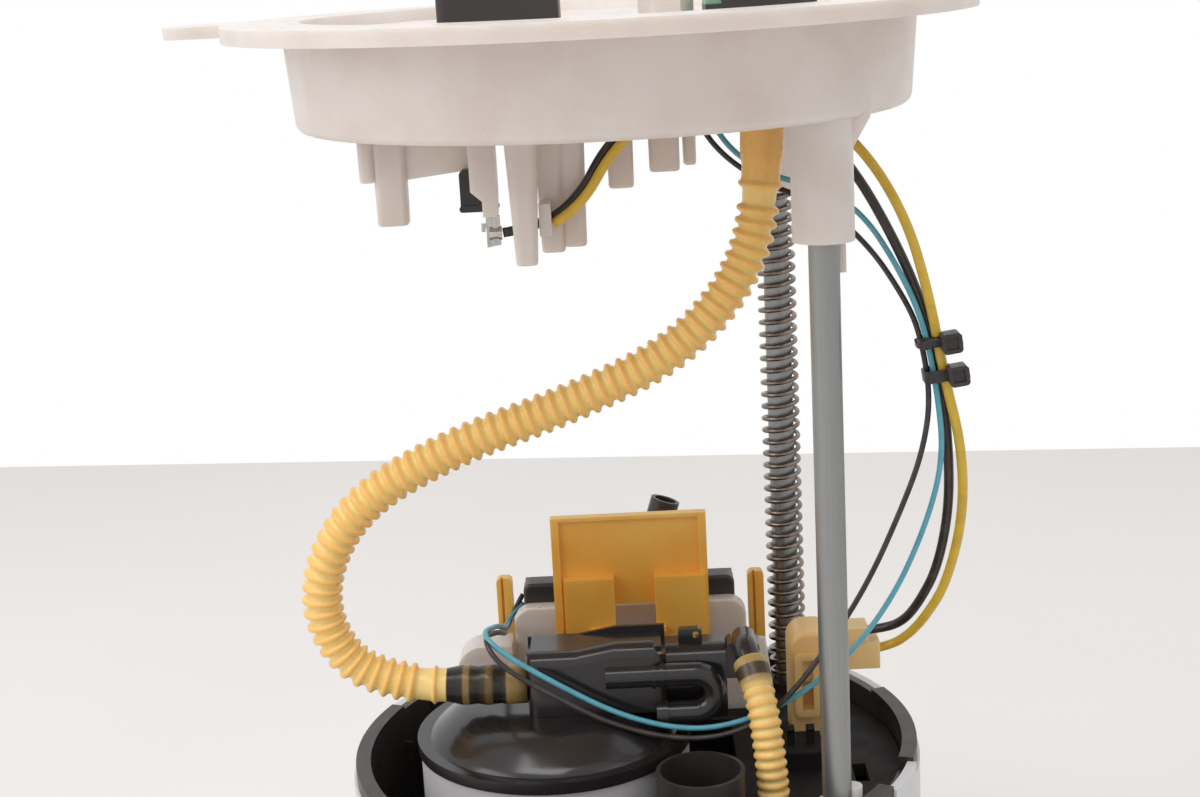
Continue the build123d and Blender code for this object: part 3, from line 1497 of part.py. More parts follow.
# Pale green locks at the two ends of the sender socket.
socket_left_x = sender_socket_x - sender_socket_size[0] / 2
socket_right_x = sender_socket_x + sender_socket_size[0] / 2
lock_spans = {
    "socket_lock_left": (socket_left_x, socket_left_x + lock_width[0] - face_gap),
    "socket_lock_right": (socket_right_x - lock_width[1] + face_gap, socket_right_x),
}
for lock_name, (left, right) in lock_spans.items():
    with BuildPart() as socket_lock:
        with Locations((left, socket_y, socket_z + lock_lift + face_gap)):
            Box(
                right - left,
                lock_y_size,
                lock_height,
                align=(Align.MIN, Align.CENTER, Align.MIN),
            )
    socket_lock.part.label = lock_name
    export_step(socket_lock.part, f"parts/{lock_name}.step")

# Black clip beside the web: a plate with a rounded foot.
clip_x = (-30.6, -25.3)
clip_y = (-5.0, web_y[0] - face_gap)
clip_rise = (120.3, 129.0)
clip_corner = 1.0
clip_foot_reach = (0.3, 2.6)
clip_foot_height = 1.4
clip_foot_lip = 0.4
clip_width = clip_x[1] - clip_x[0]
with BuildPart() as wire_clip:
    with BuildSketch(Plane.XZ.offset(-clip_y[1])) as clip_face:
        with Locations((clip_x[0], rim_z + clip_rise[0])):
            Rectangle(clip_width, clip_rise[1] - clip_rise[0], align=(Align.MIN, Align.MIN))
        fillet(clip_face.vertices().group_by(Axis.Y)[-1], clip_corner)
    extrude(amount=clip_y[1] - clip_y[0])
    with BuildSketch(Plane.XZ.offset(-clip_y[1])):
        foot_middle = clip_x[0] + (clip_width + clip_foot_reach[1] - clip_foot_reach[0]) / 2
        with Locations((foot_middle, rim_z + clip_rise[0] + clip_foot_height / 2)):
            SlotOverall(clip_width + sum(clip_foot_reach), clip_foot_height)
    extrude(amount=clip_y[1] - clip_y[0] + clip_foot_lip)
wire_clip.part.label = "wire_clip"
export_step(wire_clip.part, "parts/wire_clip.step")

# Bare terminal below its holder: blade, crimped barrel of the black wire and a folded ear.
terminal_x = (-25.3, -22.4)
terminal_y = (-9.0, -8.0)
terminal_low_rise = 113.3
terminal_slant = 0.5
barrel_yz = (-8.5, 116.2)
barrel_r = 1.45
barrel_x = (-24.7, -22.15)
barrel_waist_r = 1.2
ear_x = -26.3
ear_rise = (117.4, 118.3)
ear_fold = 0.8
with BuildPart() as wire_terminal:
    with BuildSketch(Plane.XZ.offset(-terminal_y[1])):
        with BuildLine():
            Polyline(
                (terminal_x[0], rim_z + holder_end_rise - face_gap),
                (terminal_x[0], rim_z + ear_rise[1]),
                (ear_x, rim_z + ear_rise[1]),
                (ear_x, rim_z + ear_rise[0]),
                (terminal_x[0], rim_z + ear_rise[0]),
                (terminal_x[0], rim_z + terminal_low_rise),
                (terminal_x[1], rim_z + terminal_low_rise + terminal_slant),
                (terminal_x[1], rim_z + holder_end_rise - face_gap),
                close=True,
            )
        make_face()
    extrude(amount=terminal_y[1] - terminal_y[0])
    with Locations((ear_x, terminal_y[0], rim_z + ear_rise[0] - ear_fold)):
        Box(
            ear_fold,
            terminal_y[1] - terminal_y[0],
            ear_fold,
            align=(Align.MIN, Align.MIN, Align.MIN),
        )
    for start_x, end_x, radius in (
        (barrel_x[0], barrel_x[1], barrel_waist_r),
        (barrel_x[0], barrel_x[0] + barrel_r / 2, barrel_r),
        (barrel_x[1] - barrel_r / 2, barrel_x[1], barrel_r),
    ):
        with BuildSketch(Plane.YZ.offset(start_x)):
            with Locations((barrel_yz[0], rim_z + barrel_yz[1])):
                Circle(radius)
        extrude(amount=end_x - start_x)
wire_terminal.part.label = "wire_terminal"
export_step(wire_terminal.part, "parts/wire_terminal.step")

# ---------------------------------------------------------------- hoses and wires

main_hose_route = above_rim(
    [
        (31.6, -18.0, 142.2),
        (31.4, -18.0, 124.0),
        (26.8, -18.0, 106.4),
        (12.8, -18.0, 91.2),
        (-9.8, -17.5, 81.3),
        (-35.3, -17.0, 73.1),
        (-57.0, -16.0, 61.2),
        (-66.4, -15.5, 42.7),
        (-61.6, -15.0, 26.4),
        (-48.5, -15.0, 20.6),
        (-35.5, -15.0, 19.7),
        (-22.4, -15.0, 19.5),
    ]
)
return_hose_route = above_rim(
    [
        tuple(return_start),
        tuple(return_second),
        (27.0, -29.0, 17.2),
        (27.8, -31.0, 9.8),
        (28.4, -32.0, 2.4),
        (28.7, -32.0, -9.0),
        (29.6, -31.4, -28.0),
        (29.4, -31.3, -49.0),
        (30.1, -30.7, -70.5),
        (30.0, -30.5, -90.35),
    ]
)
wire_yellow_route = above_rim(
    [
        (-11.3, -10.5, 117.9),
        (-5.4, -10.5, 121.0),
        (1.2, -10.0, 132.0),
        (11.5, -8.4, 140.2),
        (25.5, -7.4, 142.5),
        (40.1, -8.0, 140.6),
        (51.7, -14.0, 130.9),
        (59.3, -20.4, 117.3),
        (63.1, -24.6, 102.0),
        (66.0, -25.05, 84.6),
        (69.6, -23.6, 70.0),
        (70.8, -18.0, 53.4),
        (68.5, -10.4, 36.2),
        (64.7, -4.8, 26.6),
        (61.7, 1.0, 20.4),
        (58.2, 4.3, 16.8),
        (52.8, 4.8, 15.8),
    ]
)
wire_black_power_route = above_rim(
    [
        (-21.9, -8.5, 116.2),
        (-13.8, -8.3, 117.2),
        (-5.7, -8.3, 122.8),
        (0.2, -7.6, 133.1),
        (10.6, -5.2, 141.3),
        (25.1, -4.5, 144.2),
        (39.0, -5.8, 139.5),
        (49.9, -12.0, 126.7),
        (57.0, -18.2, 113.0),
        (62.4, -22.6, 99.0),
        (65.6, -22.85, 84.0),
        (67.3, -21.2, 69.5),
        (68.1, -16.4, 54.4),
        (66.6, -9.8, 39.4),
        (63.4, -4.6, 30.0),
        (60.7, 0.6, 23.9),
        (56.7, 3.9, 21.1),
        (51.0, 4.8, 20.5),
    ]
)
wire_blue_route = above_rim(
    [
        (20.4, -2.0, 146.7),
        (21.2, -2.6, 138.4),
        (25.4, -5.6, 130.6),
        (33.9, -8.2, 124.9),
        (43.5, -10.4, 122.7),
        (51.5, -14.6, 117.4),
        (57.2, -21.0, 107.8),
        (62.0, -24.7, 96.4),
        (64.7, -24.85, 80.8),
        (65.5, -25.5, 68.0),
        (62.0, -25.5, 54.6),
        (55.0, -26.0, 39.3),
        (45.6, -26.0, 26.8),
        (35.1, -24.3, 17.7),
        (24.1, -23.6, 12.2),
        (11.8, -23.9, 10.6),
        (-2.8, -23.5, 14.6),
        (-17.1, -23.5, 23.2),
        (-26.5, -22.5, 29.1),
        (-30.5, -19.0, 33.1),
        (-27.6, -10.0, 31.4),
        (-28.4, 2.0, 28.6),
        (-29.3, 15.0, 25.0),
        (-29.6, 26.5, 22.0),
        (-28.4, 32.8, 20.5),
        (-25.6, 35.2, 20.0),
    ]
)
wire_black_signal_route = above_rim(
    [
        (17.4, -0.6, 146.7),
        (18.4, -1.2, 138.2),
        (23.2, -4.0, 130.0),
        (32.6, -6.2, 123.2),
        (43.5, -9.4, 119.2),
        (52.8, -14.4, 110.6),
        (58.6, -20.6, 101.0),
        (61.3, -23.6, 94.4),
        (63.4, -23.9, 80.8),
        (61.2, -26.0, 69.6),
        (56.6, -27.6, 58.6),
        (49.8, -27.6, 43.6),
        (41.6, -27.5, 30.4),
        (32.9, -25.6, 18.0),
        (24.0, -25.2, 10.9),
        (11.7, -25.5, 9.0),
        (-3.9, -25.0, 12.8),
        (-18.2, -25.0, 21.3),
        (-27.9, -24.0, 27.6),
        (-32.2, -20.5, 33.4),
        (-29.2, -9.0, 33.0),
        (-29.2, 2.0, 30.4),
        (-30.0, 15.0, 26.8),
        (-30.4, 26.5, 23.8),
        (-28.7, 33.6, 22.2),
        (-25.6, 36.0, 22.0),
    ]
)
cords = (
    ("main_hose", main_hose_route, main_hose_r, main_hose_bore_r),
    ("return_hose", return_hose_route, return_hose_r, return_hose_bore_r),
    ("wire_yellow", wire_yellow_route, power_wire_r, 0),
    ("wire_black_power", wire_black_power_route, power_wire_r, 0),
    ("wire_blue", wire_blue_route, signal_wire_r, 0),
    ("wire_black_signal", wire_black_signal_route, signal_wire_r, 0),
)
for cord_name, cord_route, outer_r, inner_r in cords:
    cord = tube_along(cord_route, outer_r, inner_r, cord_name)
    cord.part.label = cord_name
    export_step(cord.part, f"parts/{cord_name}.step")

# Ties around the bundle of wires: a strap with its head on the right.
tie_inner_size = (5.7, 4.7)
tie_head_size = (4.4, 4.5, 4.3)
tie_centres = ((63.35, -23.8), (64.56, -23.8))
for number, (tie_xy, tie_rise) in enumerate(zip(tie_centres, tie_lift), start=1):
    with BuildPart() as cable_tie:
        with BuildSketch(at_height(tie_xy, rim_z + tie_rise)):
            RectangleRounded(*[size + 2 * tie_strap for size in tie_inner_size], 2.0)
            RectangleRounded(*tie_inner_size, 1.2, mode=Mode.SUBTRACT)
        extrude(amount=tie_width / 2, both=True)
        head_x = tie_xy[0] + tie_inner_size[0] / 2 + tie_strap / 2
        with Locations((head_x, tie_xy[1], rim_z + tie_rise)):
            Box(*tie_head_size, align=(Align.MIN, Align.CENTER, Align.CENTER))
    cable_tie.part.label = f"cable_tie_{number}"
    export_step(cable_tie.part, f"parts/cable_tie_{number}.step")
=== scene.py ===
"""Looks of an in-tank fuel pump module: hoses, wires, spring, finishes and a small studio."""

import logging
import math
from dataclasses import dataclass, replace
from enum import Enum
from typing import Any, Callable, Iterable

import bpy
import numpy as np
from mathutils import Matrix, Vector


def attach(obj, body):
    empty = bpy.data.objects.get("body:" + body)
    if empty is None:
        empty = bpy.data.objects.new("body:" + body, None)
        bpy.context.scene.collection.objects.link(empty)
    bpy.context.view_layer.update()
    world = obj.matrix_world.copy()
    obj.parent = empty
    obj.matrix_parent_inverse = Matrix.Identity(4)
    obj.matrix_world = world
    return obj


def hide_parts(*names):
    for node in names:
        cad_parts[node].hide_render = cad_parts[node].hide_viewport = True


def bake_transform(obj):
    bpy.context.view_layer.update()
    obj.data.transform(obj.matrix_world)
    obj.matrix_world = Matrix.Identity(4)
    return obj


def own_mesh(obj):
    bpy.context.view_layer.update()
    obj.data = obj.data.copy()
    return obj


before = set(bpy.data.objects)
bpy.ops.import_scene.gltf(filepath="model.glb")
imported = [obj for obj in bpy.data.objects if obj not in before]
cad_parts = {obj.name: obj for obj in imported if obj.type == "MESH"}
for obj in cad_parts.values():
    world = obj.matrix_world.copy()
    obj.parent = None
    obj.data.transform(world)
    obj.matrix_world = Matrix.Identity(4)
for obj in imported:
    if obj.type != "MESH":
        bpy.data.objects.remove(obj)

log = logging.getLogger("fuel_pump_module")

Pair = tuple[float, float]
Triple = tuple[float, float, float]
Piece = bpy.types.Object
Socket = bpy.types.NodeSocket

MM = 0.001  # in metres
RIM_Z = 105.0  # height of the reservoir's rim in millimetres
MERGE_DISTANCE = 1e-6
PIXELS_WIDE = 1200

# Spans of a noise's values that a pattern is drawn from.
WHOLE: Pair = (0.0, 1.0)
WIDE: Pair = (0.3, 0.7)
EVEN: Pair = (0.35, 0.65)
CLOUDED: Pair = (0.35, 0.7)
STAINED: Pair = (0.4, 0.7)
RUBBED: Pair = (0.45, 0.7)
PATCHY: Pair = (0.45, 0.62)
SPECKLED: Pair = (0.74, 0.78)

# Upward part of a surface's normal, from where dirt slides off to where it stays.
DIRT_SLOPES: Pair = (0.3, 0.85)

# Inputs of a Map Range node, inputs of a Mix node for its share and colours, and its output.
RANGE_INPUTS = ("Value", "From Min", "From Max", "To Min", "To Max")
MIX_INPUTS = (0, 6, 7)
MIX_OUTPUT = 2


class Body(Enum):
    """Bodies of the module that pieces ride on."""

    RESERVOIR = "reservoir"
    FLANGE = "flange"


class Stiffness(Enum):
    """How a hose or wire bends under its own weight."""

    MEDIUM = "medium"
    STIFF = "stiff"


@dataclass(frozen=True)
class Colour:
    """A display colour with parts from 0 to 255."""

    red: float
    green: float
    blue: float

    def linear(self) -> tuple[float, float, float, float]:
        """Returns the colour as linear light with full alpha."""
        parts = [part / 255 for part in (self.red, self.green, self.blue)]
        bent = [p / 12.92 if p <= 0.04045 else ((p + 0.055) / 1.055) ** 2.4 for p in parts]
        return (*bent, 1.0)


class NodePad:
    """A node tree, with short ways to add and join nodes."""

    def __init__(self, tree: bpy.types.NodeTree) -> None:
        """Opens a tree."""
        self.nodes = tree.nodes
        self.links = tree.links

    def feed(self, socket: Socket, value: Any) -> None:
        """Links or sets one input.

        Args:
            socket: The input.
            value: An output socket, a colour or a plain value.
        """
        if isinstance(value, Socket):
            self.links.new(value, socket)
        elif isinstance(value, Colour):
            socket.default_value = value.linear()
        else:
            socket.default_value = value

    def add(self, kind: str, inputs: dict[Any, Any], **settings: Any) -> bpy.types.Node:
        """Adds a node.

        Args:
            kind: The node's type.
            inputs: Values or sockets for its inputs.
            **settings: Properties of the node.

        Returns:
            The node.
        """
        node = self.nodes.new(kind)
        for key, value in settings.items():
            setattr(node, key, value)
        for key, value in inputs.items():
            self.feed(node.inputs[key], value)
        return node

    def math(self, operation: str, first: Any, second: Any) -> Socket:
        """Returns two values joined by an operation."""
        inputs = {0: first, 1: second}
        return self.add("ShaderNodeMath", inputs, operation=operation).outputs[0]

    def graded(self, value: Socket, span: Pair, to: Pair = WHOLE) -> Socket:
        """Maps a span of a value onto another span, clamped."""
        inputs = dict(zip(RANGE_INPUTS, (value, *span, *to)))
        return self.add("ShaderNodeMapRange", inputs, clamp=True).outputs["Result"]


class MaterialPad(NodePad):
    """The node tree of a new material, with patterns on the object's coordinates."""

    def __init__(self, name: str) -> None:
        """Makes an empty material.

        Args:
            name: The material's name.
        """
        self.material = bpy.data.materials.new(name)
        self.material.use_nodes = True
        super().__init__(self.material.node_tree)
        self.shader = self.nodes["Principled BSDF"]
        self.place = self.add("ShaderNodeTexCoord", {}).outputs["Object"]

    def cloud(
        self, grain_mm: float, detail: float = 3.0, stretch: Triple = (1, 1, 1)
    ) -> Socket:
        """Adds a soft noise.

        Args:
            grain_mm: Size of its grains in millimetres.
            detail: How many finer layers it has.
            stretch: Factor on each axis, under 1 for streaks along it.

        Returns:
            Its value, from 0 to 1.
        """
        stretched = self.add("ShaderNodeMapping", {"Vector": self.place, "Scale": stretch})
        inputs = {
            "Vector": stretched.outputs["Vector"],
            "Scale": 1 / (grain_mm * MM),
            "Detail": detail,
        }
        return self.add("ShaderNodeTexNoise", inputs).outputs["Fac"]

    def facing_up(self, least: float) -> Socket:
        """Tells where dirt settles.

        Args:
            least: Share of the dirt where the surface stands or hangs.

        Returns:
            1 where the surface faces up, down to that share.
        """
        normal = self.add("ShaderNodeNewGeometry", {}).outputs["Normal"]
        height = self.add("ShaderNodeSeparateXYZ", {"Vector": normal}).outputs["Z"]
        return self.graded(height, DIRT_SLOPES, (least, 1))

    def mixed(self, share: Any, first: Any, second: Any) -> Socket:
        """Mixes two colours by a share of the second."""
        inputs = dict(zip(MIX_INPUTS, (share, first, second)))
        return self.add("ShaderNodeMix", inputs, data_type="RGBA").outputs[MIX_OUTPUT]

    def relief(self, height: Socket, depth_mm: float) -> Socket:
        """Returns the normal of a bump with a height from 0 to 1 and a full depth."""
        inputs = {"Height": height, "Distance": depth_mm * MM}
        return self.add("ShaderNodeBump", inputs).outputs["Normal"]

    def set(self, **values: Any) -> None:
        """Sets the shader's inputs, named with underscores in place of spaces."""
        for key, value in values.items():
            self.feed(self.shader.inputs[key.replace("_", " ")], value)

    def glow(self, share: float, reach_mm: float, tint: Triple) -> None:
        """Lets a share of the light scatter below the surface, its red the furthest."""
        self.set(
            Subsurface_Weight=share, Subsurface_Radius=tint, Subsurface_Scale=reach_mm * MM
        )


@dataclass(frozen=True)
class Finish:
    """A surface finish.

    Attributes:
        name: Name of the finish.
        slot: The record's slot of the pieces that have it; not used.
        colour: Main colour.
        shade: Second colour, in clouds, streaks and rubs; on the crests of pleats it is painted
            shade, a darker orange that stands in for light through the translucent plastic.
        roughness: Roughness at the smoothest and at the roughest place.
    """

    name: str
    slot: str
    colour: Colour
    shade: Colour
    roughness: Pair = (0.32, 0.45)

    def compose(self, pad: MaterialPad) -> None:
        """Builds the finish; each kind of finish has its own way.

        Args:
            pad: The material's node pad.
        """
        raise NotImplementedError

    def material(self) -> bpy.types.Material:
        """Makes the finish once.

        Returns:
            Its material.
        """
        known = bpy.data.materials.get(f"finish_{self.name}")
        if known:
            return known
        pad = MaterialPad(f"finish_{self.name}")
        self.compose(pad)
        return pad.material

    def paint(self, piece: Piece) -> None:
        """Puts the finish on every face.

        Args:
            piece: A new piece.
        """
        piece.data.materials.clear()
        piece.data.materials.append(self.material())

    def repaint(self, piece: Piece) -> None:
        """Puts the finish in place of the solid's own.

        Args:
            piece: A carried-over piece.
        """
        for holder in piece.material_slots:
            holder.material = self.material()


@dataclass(frozen=True)
class MouldedPlastic(Finish):
    """Injection moulded plastic, opaque or milky.

    Attributes:
        grain_mm: Size of the mould's grain.
        grain_depth_mm: Depth of the grain.
        glow: Share of light that scatters below the surface.
        glow_mm: How far that light goes.
        specks: Share of the surface with dirt specks.
        gloss: Specular level.
    """

    CLOUD_MM, FLOW_MM, SPECK_MM, PATCH_MM = 14.0, 5.0, 0.9, 7.0
    SPECK_COLOUR = Colour(120, 92, 66)
    SPECKS_ON_WALLS = 0.08
    GLOW_TINT = (1.0, 0.75, 0.55)

    grain_mm: float = 0.5
    grain_depth_mm: float = 0.01
    glow: float = 0.0
    glow_mm: float = 2.0
    specks: float = 0.0
    gloss: float = 0.5

    def compose(self, pad: MaterialPad) -> None:
        """Builds clouds, specks, mould grain and scatter."""
        clouds = pad.graded(pad.cloud(self.CLOUD_MM), EVEN)
        colour = pad.mixed(clouds, self.colour, self.shade)
        if self.specks:
            colour = pad.mixed(self.dirt(pad), colour, self.SPECK_COLOUR)
        rough = pad.graded(pad.cloud(self.FLOW_MM), WIDE, self.roughness)
        grain = pad.relief(pad.cloud(self.grain_mm, 2.0), self.grain_depth_mm)
        pad.set(Base_Color=colour, Roughness=rough, Normal=grain, Specular_IOR_Level=self.gloss)
        if self.glow:
            pad.glow(self.glow, self.glow_mm, self.GLOW_TINT)

    def dirt(self, pad: MaterialPad) -> Socket:
        """Strews specks in patches, most of them on what faces up.

        Args:
            pad: The material's node pad.

        Returns:
            1 where a speck lies.
        """
        low, high = SPECKLED
        fine = pad.graded(pad.cloud(self.SPECK_MM, 1.0), (low - self.specks, high - self.specks))
        coarse = pad.graded(pad.cloud(self.PATCH_MM, 2.0), PATCHY)
        both = pad.math("MULTIPLY", fine, coarse)
        return pad.math("MULTIPLY", both, pad.facing_up(self.SPECKS_ON_WALLS))


@dataclass(frozen=True)
class DrawnMetal(Finish):
    """Drawn or ground metal with fine lines along one axis.

    Attributes:
        stretch: Factor on each axis, small along the lines.
        line_mm: Spacing of the lines.
        metal: How metallic it is.
    """

    LINE_DEPTH_MM, STAIN_MM = 0.006, 9.0
    LINE_SHARE, STAIN_SHARE = 0.6, 0.35

    roughness: Pair = (0.25, 0.4)
    stretch: Triple = (1, 1, 0.02)
    line_mm: float = 0.5
    metal: float = 1.0

    def compose(self, pad: MaterialPad) -> None:
        """Builds streaks, stains and fine lines."""
        lines = pad.cloud(self.line_mm, 4.0, self.stretch)
        stains = pad.graded(pad.cloud(self.STAIN_MM, 4.0), STAINED)
        streaks = pad.graded(lines, EVEN, (0, self.LINE_SHARE))
        colour = pad.mixed(streaks, self.colour, self.shade)
        colour = pad.mixed(pad.graded(stains, WHOLE, (0, self.STAIN_SHARE)), colour, self.shade)
        rough = pad.graded(stains, WHOLE, self.roughness)
        normal = pad.relief(lines, self.LINE_DEPTH_MM)
        pad.set(Base_Color=colour, Roughness=rough, Normal=normal, Metallic=self.metal)


@dataclass(frozen=True)
class ShadedTube(Finish):
    """Translucent hose plastic whose colour follows the piece's own marks; its darker orange on the
    pleats' crests is painted shade.

    Attributes:
        band: Colour where a barb shows through.
        band_edge: Colour where it shows less.
    """

    CLOUD_MM, FLOW_MM, GRAIN_MM, GRAIN_DEPTH_MM = 8.0, 3.0, 0.8, 0.02
    CLOUD_SHARE, BENDING = 0.35, 1.45
    GLOW, GLOW_MM, GLOW_TINT = 0.3, 0.5, (1.0, 0.6, 0.2)

    roughness: Pair = (0.2, 0.34)
    band: Colour = Colour(30, 28, 23)
    band_edge: Colour = Colour(118, 94, 52)

    def compose(self, pad: MaterialPad) -> None:
        """Builds the painted crest shade of the pleats and the bands' colours over a milky gloss.
        """
        height = pad.add("ShaderNodeAttribute", {}, attribute_name="pleat").outputs["Fac"]
        band = pad.add("ShaderNodeAttribute", {}, attribute_name="band").outputs["Fac"]
        # Painted shade: the crests darken from the bright yellow of the valleys to orange, standing
        # in for light through the translucent wall.
        colour = pad.mixed(height, self.colour, self.shade)
        clouds = pad.graded(pad.cloud(self.CLOUD_MM), CLOUDED, (0, self.CLOUD_SHARE))
        colour = pad.mixed(clouds, colour, self.shade)
        colour = pad.mixed(pad.graded(band, (0.0, 0.5)), colour, self.band_edge)
        colour = pad.mixed(pad.graded(band, (0.5, 1.0)), colour, self.band)
        pad.set(
            Base_Color=colour,
            Roughness=pad.graded(pad.cloud(self.FLOW_MM), WIDE, self.roughness),
            Normal=pad.relief(pad.cloud(self.GRAIN_MM, 2.0), self.GRAIN_DEPTH_MM),
            IOR=self.BENDING,
        )
        pad.glow(self.GLOW, self.GLOW_MM, self.GLOW_TINT)


@dataclass(frozen=True)
class WireJacket(Finish):
    """Extruded wire insulation."""

    RUB_MM, RUB_SHARE, RIPPLE_MM, RIPPLE_DEPTH_MM = 3.0, 0.7, 0.6, 0.015

    roughness: Pair = (0.28, 0.42)

    def compose(self, pad: MaterialPad) -> None:
        """Builds a satin jacket with rubs and a faint ripple."""
        rubs = pad.graded(pad.cloud(self.RUB_MM, 5.0), RUBBED, (0, self.RUB_SHARE))
        pad.set(
            Base_Color=pad.mixed(rubs, self.colour, self.shade),
            Roughness=pad.graded(rubs, WHOLE, self.roughness),
            Normal=pad.relief(pad.cloud(self.RIPPLE_MM, 1.0), self.RIPPLE_DEPTH_MM),
        )


NATURAL_WHITE = MouldedPlastic(
    "natural_white", "pom_white", Colour(232, 224, 219), Colour(225, 214, 207), glow=0.5,
    glow_mm=4.0, specks=0.06,
)
SHELL_WHITE = MouldedPlastic(
    "shell_white", "shell_white", Colour(224, 225, 227), Colour(220, 221, 222), glow=0.25,
    glow_mm=3.0,
)
SATIN_BLACK = MouldedPlastic(
    "satin_black", "black_plastic", Colour(47, 43, 42), Colour(57, 52, 51), (0.34, 0.46),
    grain_depth_mm=0.015,
)
MATT_BLACK = MouldedPlastic(
    "matt_black", "black_plastic", Colour(24, 22, 22), Colour(34, 31, 31), (0.55, 0.68),
    grain_mm=0.4, grain_depth_mm=0.02, gloss=0.2,
)
GLOSSY_BLACK = MouldedPlastic(
    "glossy_black", "black_glossy", Colour(37, 34, 34), Colour(42, 38, 38), (0.15, 0.22),
    grain_depth_mm=0.004,
)
CANISTER_GREY = MouldedPlastic(
    "canister_grey", "grey_plastic", Colour(216, 213, 214), Colour(208, 205, 206), glow=0.15
)
AMBER_PLASTIC = MouldedPlastic(
    "amber", "amber_plastic", Colour(255, 197, 94), Colour(250, 184, 78), (0.28, 0.36), glow=0.45,
    specks=0.01,
)
BEIGE_PLASTIC = MouldedPlastic(
    "beige", "beige_plastic", Colour(242, 205, 142), Colour(236, 194, 128), glow=0.5, glow_mm=3.0,
    specks=0.01,
)
BUSH_WHITE = MouldedPlastic(
    "bush_white", "bush_white", Colour(238, 237, 232), Colour(228, 226, 220), glow=0.3
)
LOCK_GREEN = MouldedPlastic(
    "lock_green", "lock_green", Colour(150, 196, 160), Colour(138, 186, 150), glow=0.2
)
FILTER_PAPER = MouldedPlastic(
    "filter_paper", "filter_paper", Colour(226, 208, 170), Colour(214, 194, 152), (0.8, 0.95),
    grain_mm=0.3, grain_depth_mm=0.06,
)
RUBBER_BLACK = MouldedPlastic(
    "rubber_black", "rubber_black", Colour(26, 26, 27), Colour(38, 38, 38), (0.6, 0.8),
    grain_mm=0.25, grain_depth_mm=0.03,
)
FLOAT_BLACK = MouldedPlastic(
    "float_black", "float_black", Colour(34, 33, 33), Colour(46, 45, 44), (0.65, 0.85),
    grain_mm=0.35, grain_depth_mm=0.07,
)
ROD_STEEL = DrawnMetal(
    "rod_steel", "rod_steel", Colour(158, 159, 158), Colour(150, 151, 150), (0.36, 0.44),
    metal=0.85,
)
SPRING_STEEL = DrawnMetal(
    "spring_steel", "spring_steel", Colour(146, 133, 123), Colour(106, 95, 88), (0.2, 0.34),
    (1, 1, 1), line_mm=1.2,
)
CLIP_STEEL = DrawnMetal("clip_steel", "clip_steel", Colour(160, 160, 162), Colour(120, 120, 122))
CONTACT_TIN = DrawnMetal(
    "contact_tin", "contact_metal", Colour(214, 212, 208), Colour(170, 166, 160), (0.2, 0.34),
    (1, 1, 0.3), line_mm=0.7,
)
PUMP_STEEL = DrawnMetal("pump_steel", "pump_steel", Colour(188, 190, 192), Colour(150, 152, 154))
# Bright yellow valleys, with a darker orange on the crests that is painted shade.
HOSE_AMBER = ShadedTube("hose_amber", "hose_amber", Colour(255, 222, 144), Colour(255, 200, 114))
WIRE_YELLOW = WireJacket("wire_yellow", "wire_yellow", Colour(228, 189, 66), Colour(209, 170, 58))
WIRE_BLACK = WireJacket("wire_black", "wire_black", Colour(50, 44, 43), Colour(76, 68, 66))
WIRE_BLUE = WireJacket("wire_blue", "wire_blue", Colour(98, 176, 194), Colour(80, 157, 177))

# Each finish with the carried-over pieces that get it.
CARRIED: tuple[tuple[Finish, str], ...] = (
    (SHELL_WHITE, "reservoir_shell"),
    (
        SATIN_BLACK,
        "reservoir_liner spring_seat suction_strainer standpipe jet_pump sender_housing "
        "transfer_pipe pump_socket sender_socket wire_clip",
    ),
    (RUBBER_BLACK, "foot_valve pump_damper"),
    (BUSH_WHITE, "front_bush rear_bush alignment_cone"),
    (MATT_BLACK, "inner_carrier"),
    (CANISTER_GREY, "filter_canister"),
    (FILTER_PAPER, "filter_element"),
    (PUMP_STEEL, "fuel_pump"),
    (
        GLOSSY_BLACK,
        "filter_cap outlet_manifold manifold_cover crossover_pipe retaining_lug return_elbow",
    ),
    (NATURAL_WHITE, "sender_bracket side_holder float_hub flange outlet_nipple"),
    (AMBER_PLASTIC, "sender_shield sender_post_left sender_post_right"),
    (BEIGE_PLASTIC, "plug_housing lower_plug upper_plug"),
    (CLIP_STEEL, "float_arm rod_clips"),
    (FLOAT_BLACK, "float_body"),
    (CONTACT_TIN, "pump_pins sender_pins wire_terminal"),
    (LOCK_GREEN, "socket_lock_left socket_lock_right"),
    (ROD_STEEL, "front_rod rear_rod"),
)


def deselect_all() -> None:
    """Leaves edit mode and deselects every object."""
    active = bpy.context.view_layer.objects.active
    if active and active.mode != "OBJECT":
        bpy.ops.object.mode_set(mode="OBJECT")
    bpy.ops.object.select_all(action="DESELECT")


def select_only(piece: Piece) -> None:
    """Makes a piece the active and only selected one, in object mode."""
    deselect_all()
    piece.select_set(True)
    bpy.context.view_layer.objects.active = piece


def face_outward(piece: Piece, merge: bool = False) -> None:
    """Turns a closed mesh's faces outward and leaves the piece selected.

    Args:
        piece: The piece.
        merge: Whether its doubled points are merged first.
    """
    select_only(piece)
    bpy.ops.object.mode_set(mode="EDIT")
    bpy.ops.mesh.select_all(action="SELECT")
    if merge:
        bpy.ops.mesh.remove_doubles(threshold=MERGE_DISTANCE)
    bpy.ops.mesh.normals_make_consistent(inside=False)
    bpy.ops.object.mode_set(mode="OBJECT")


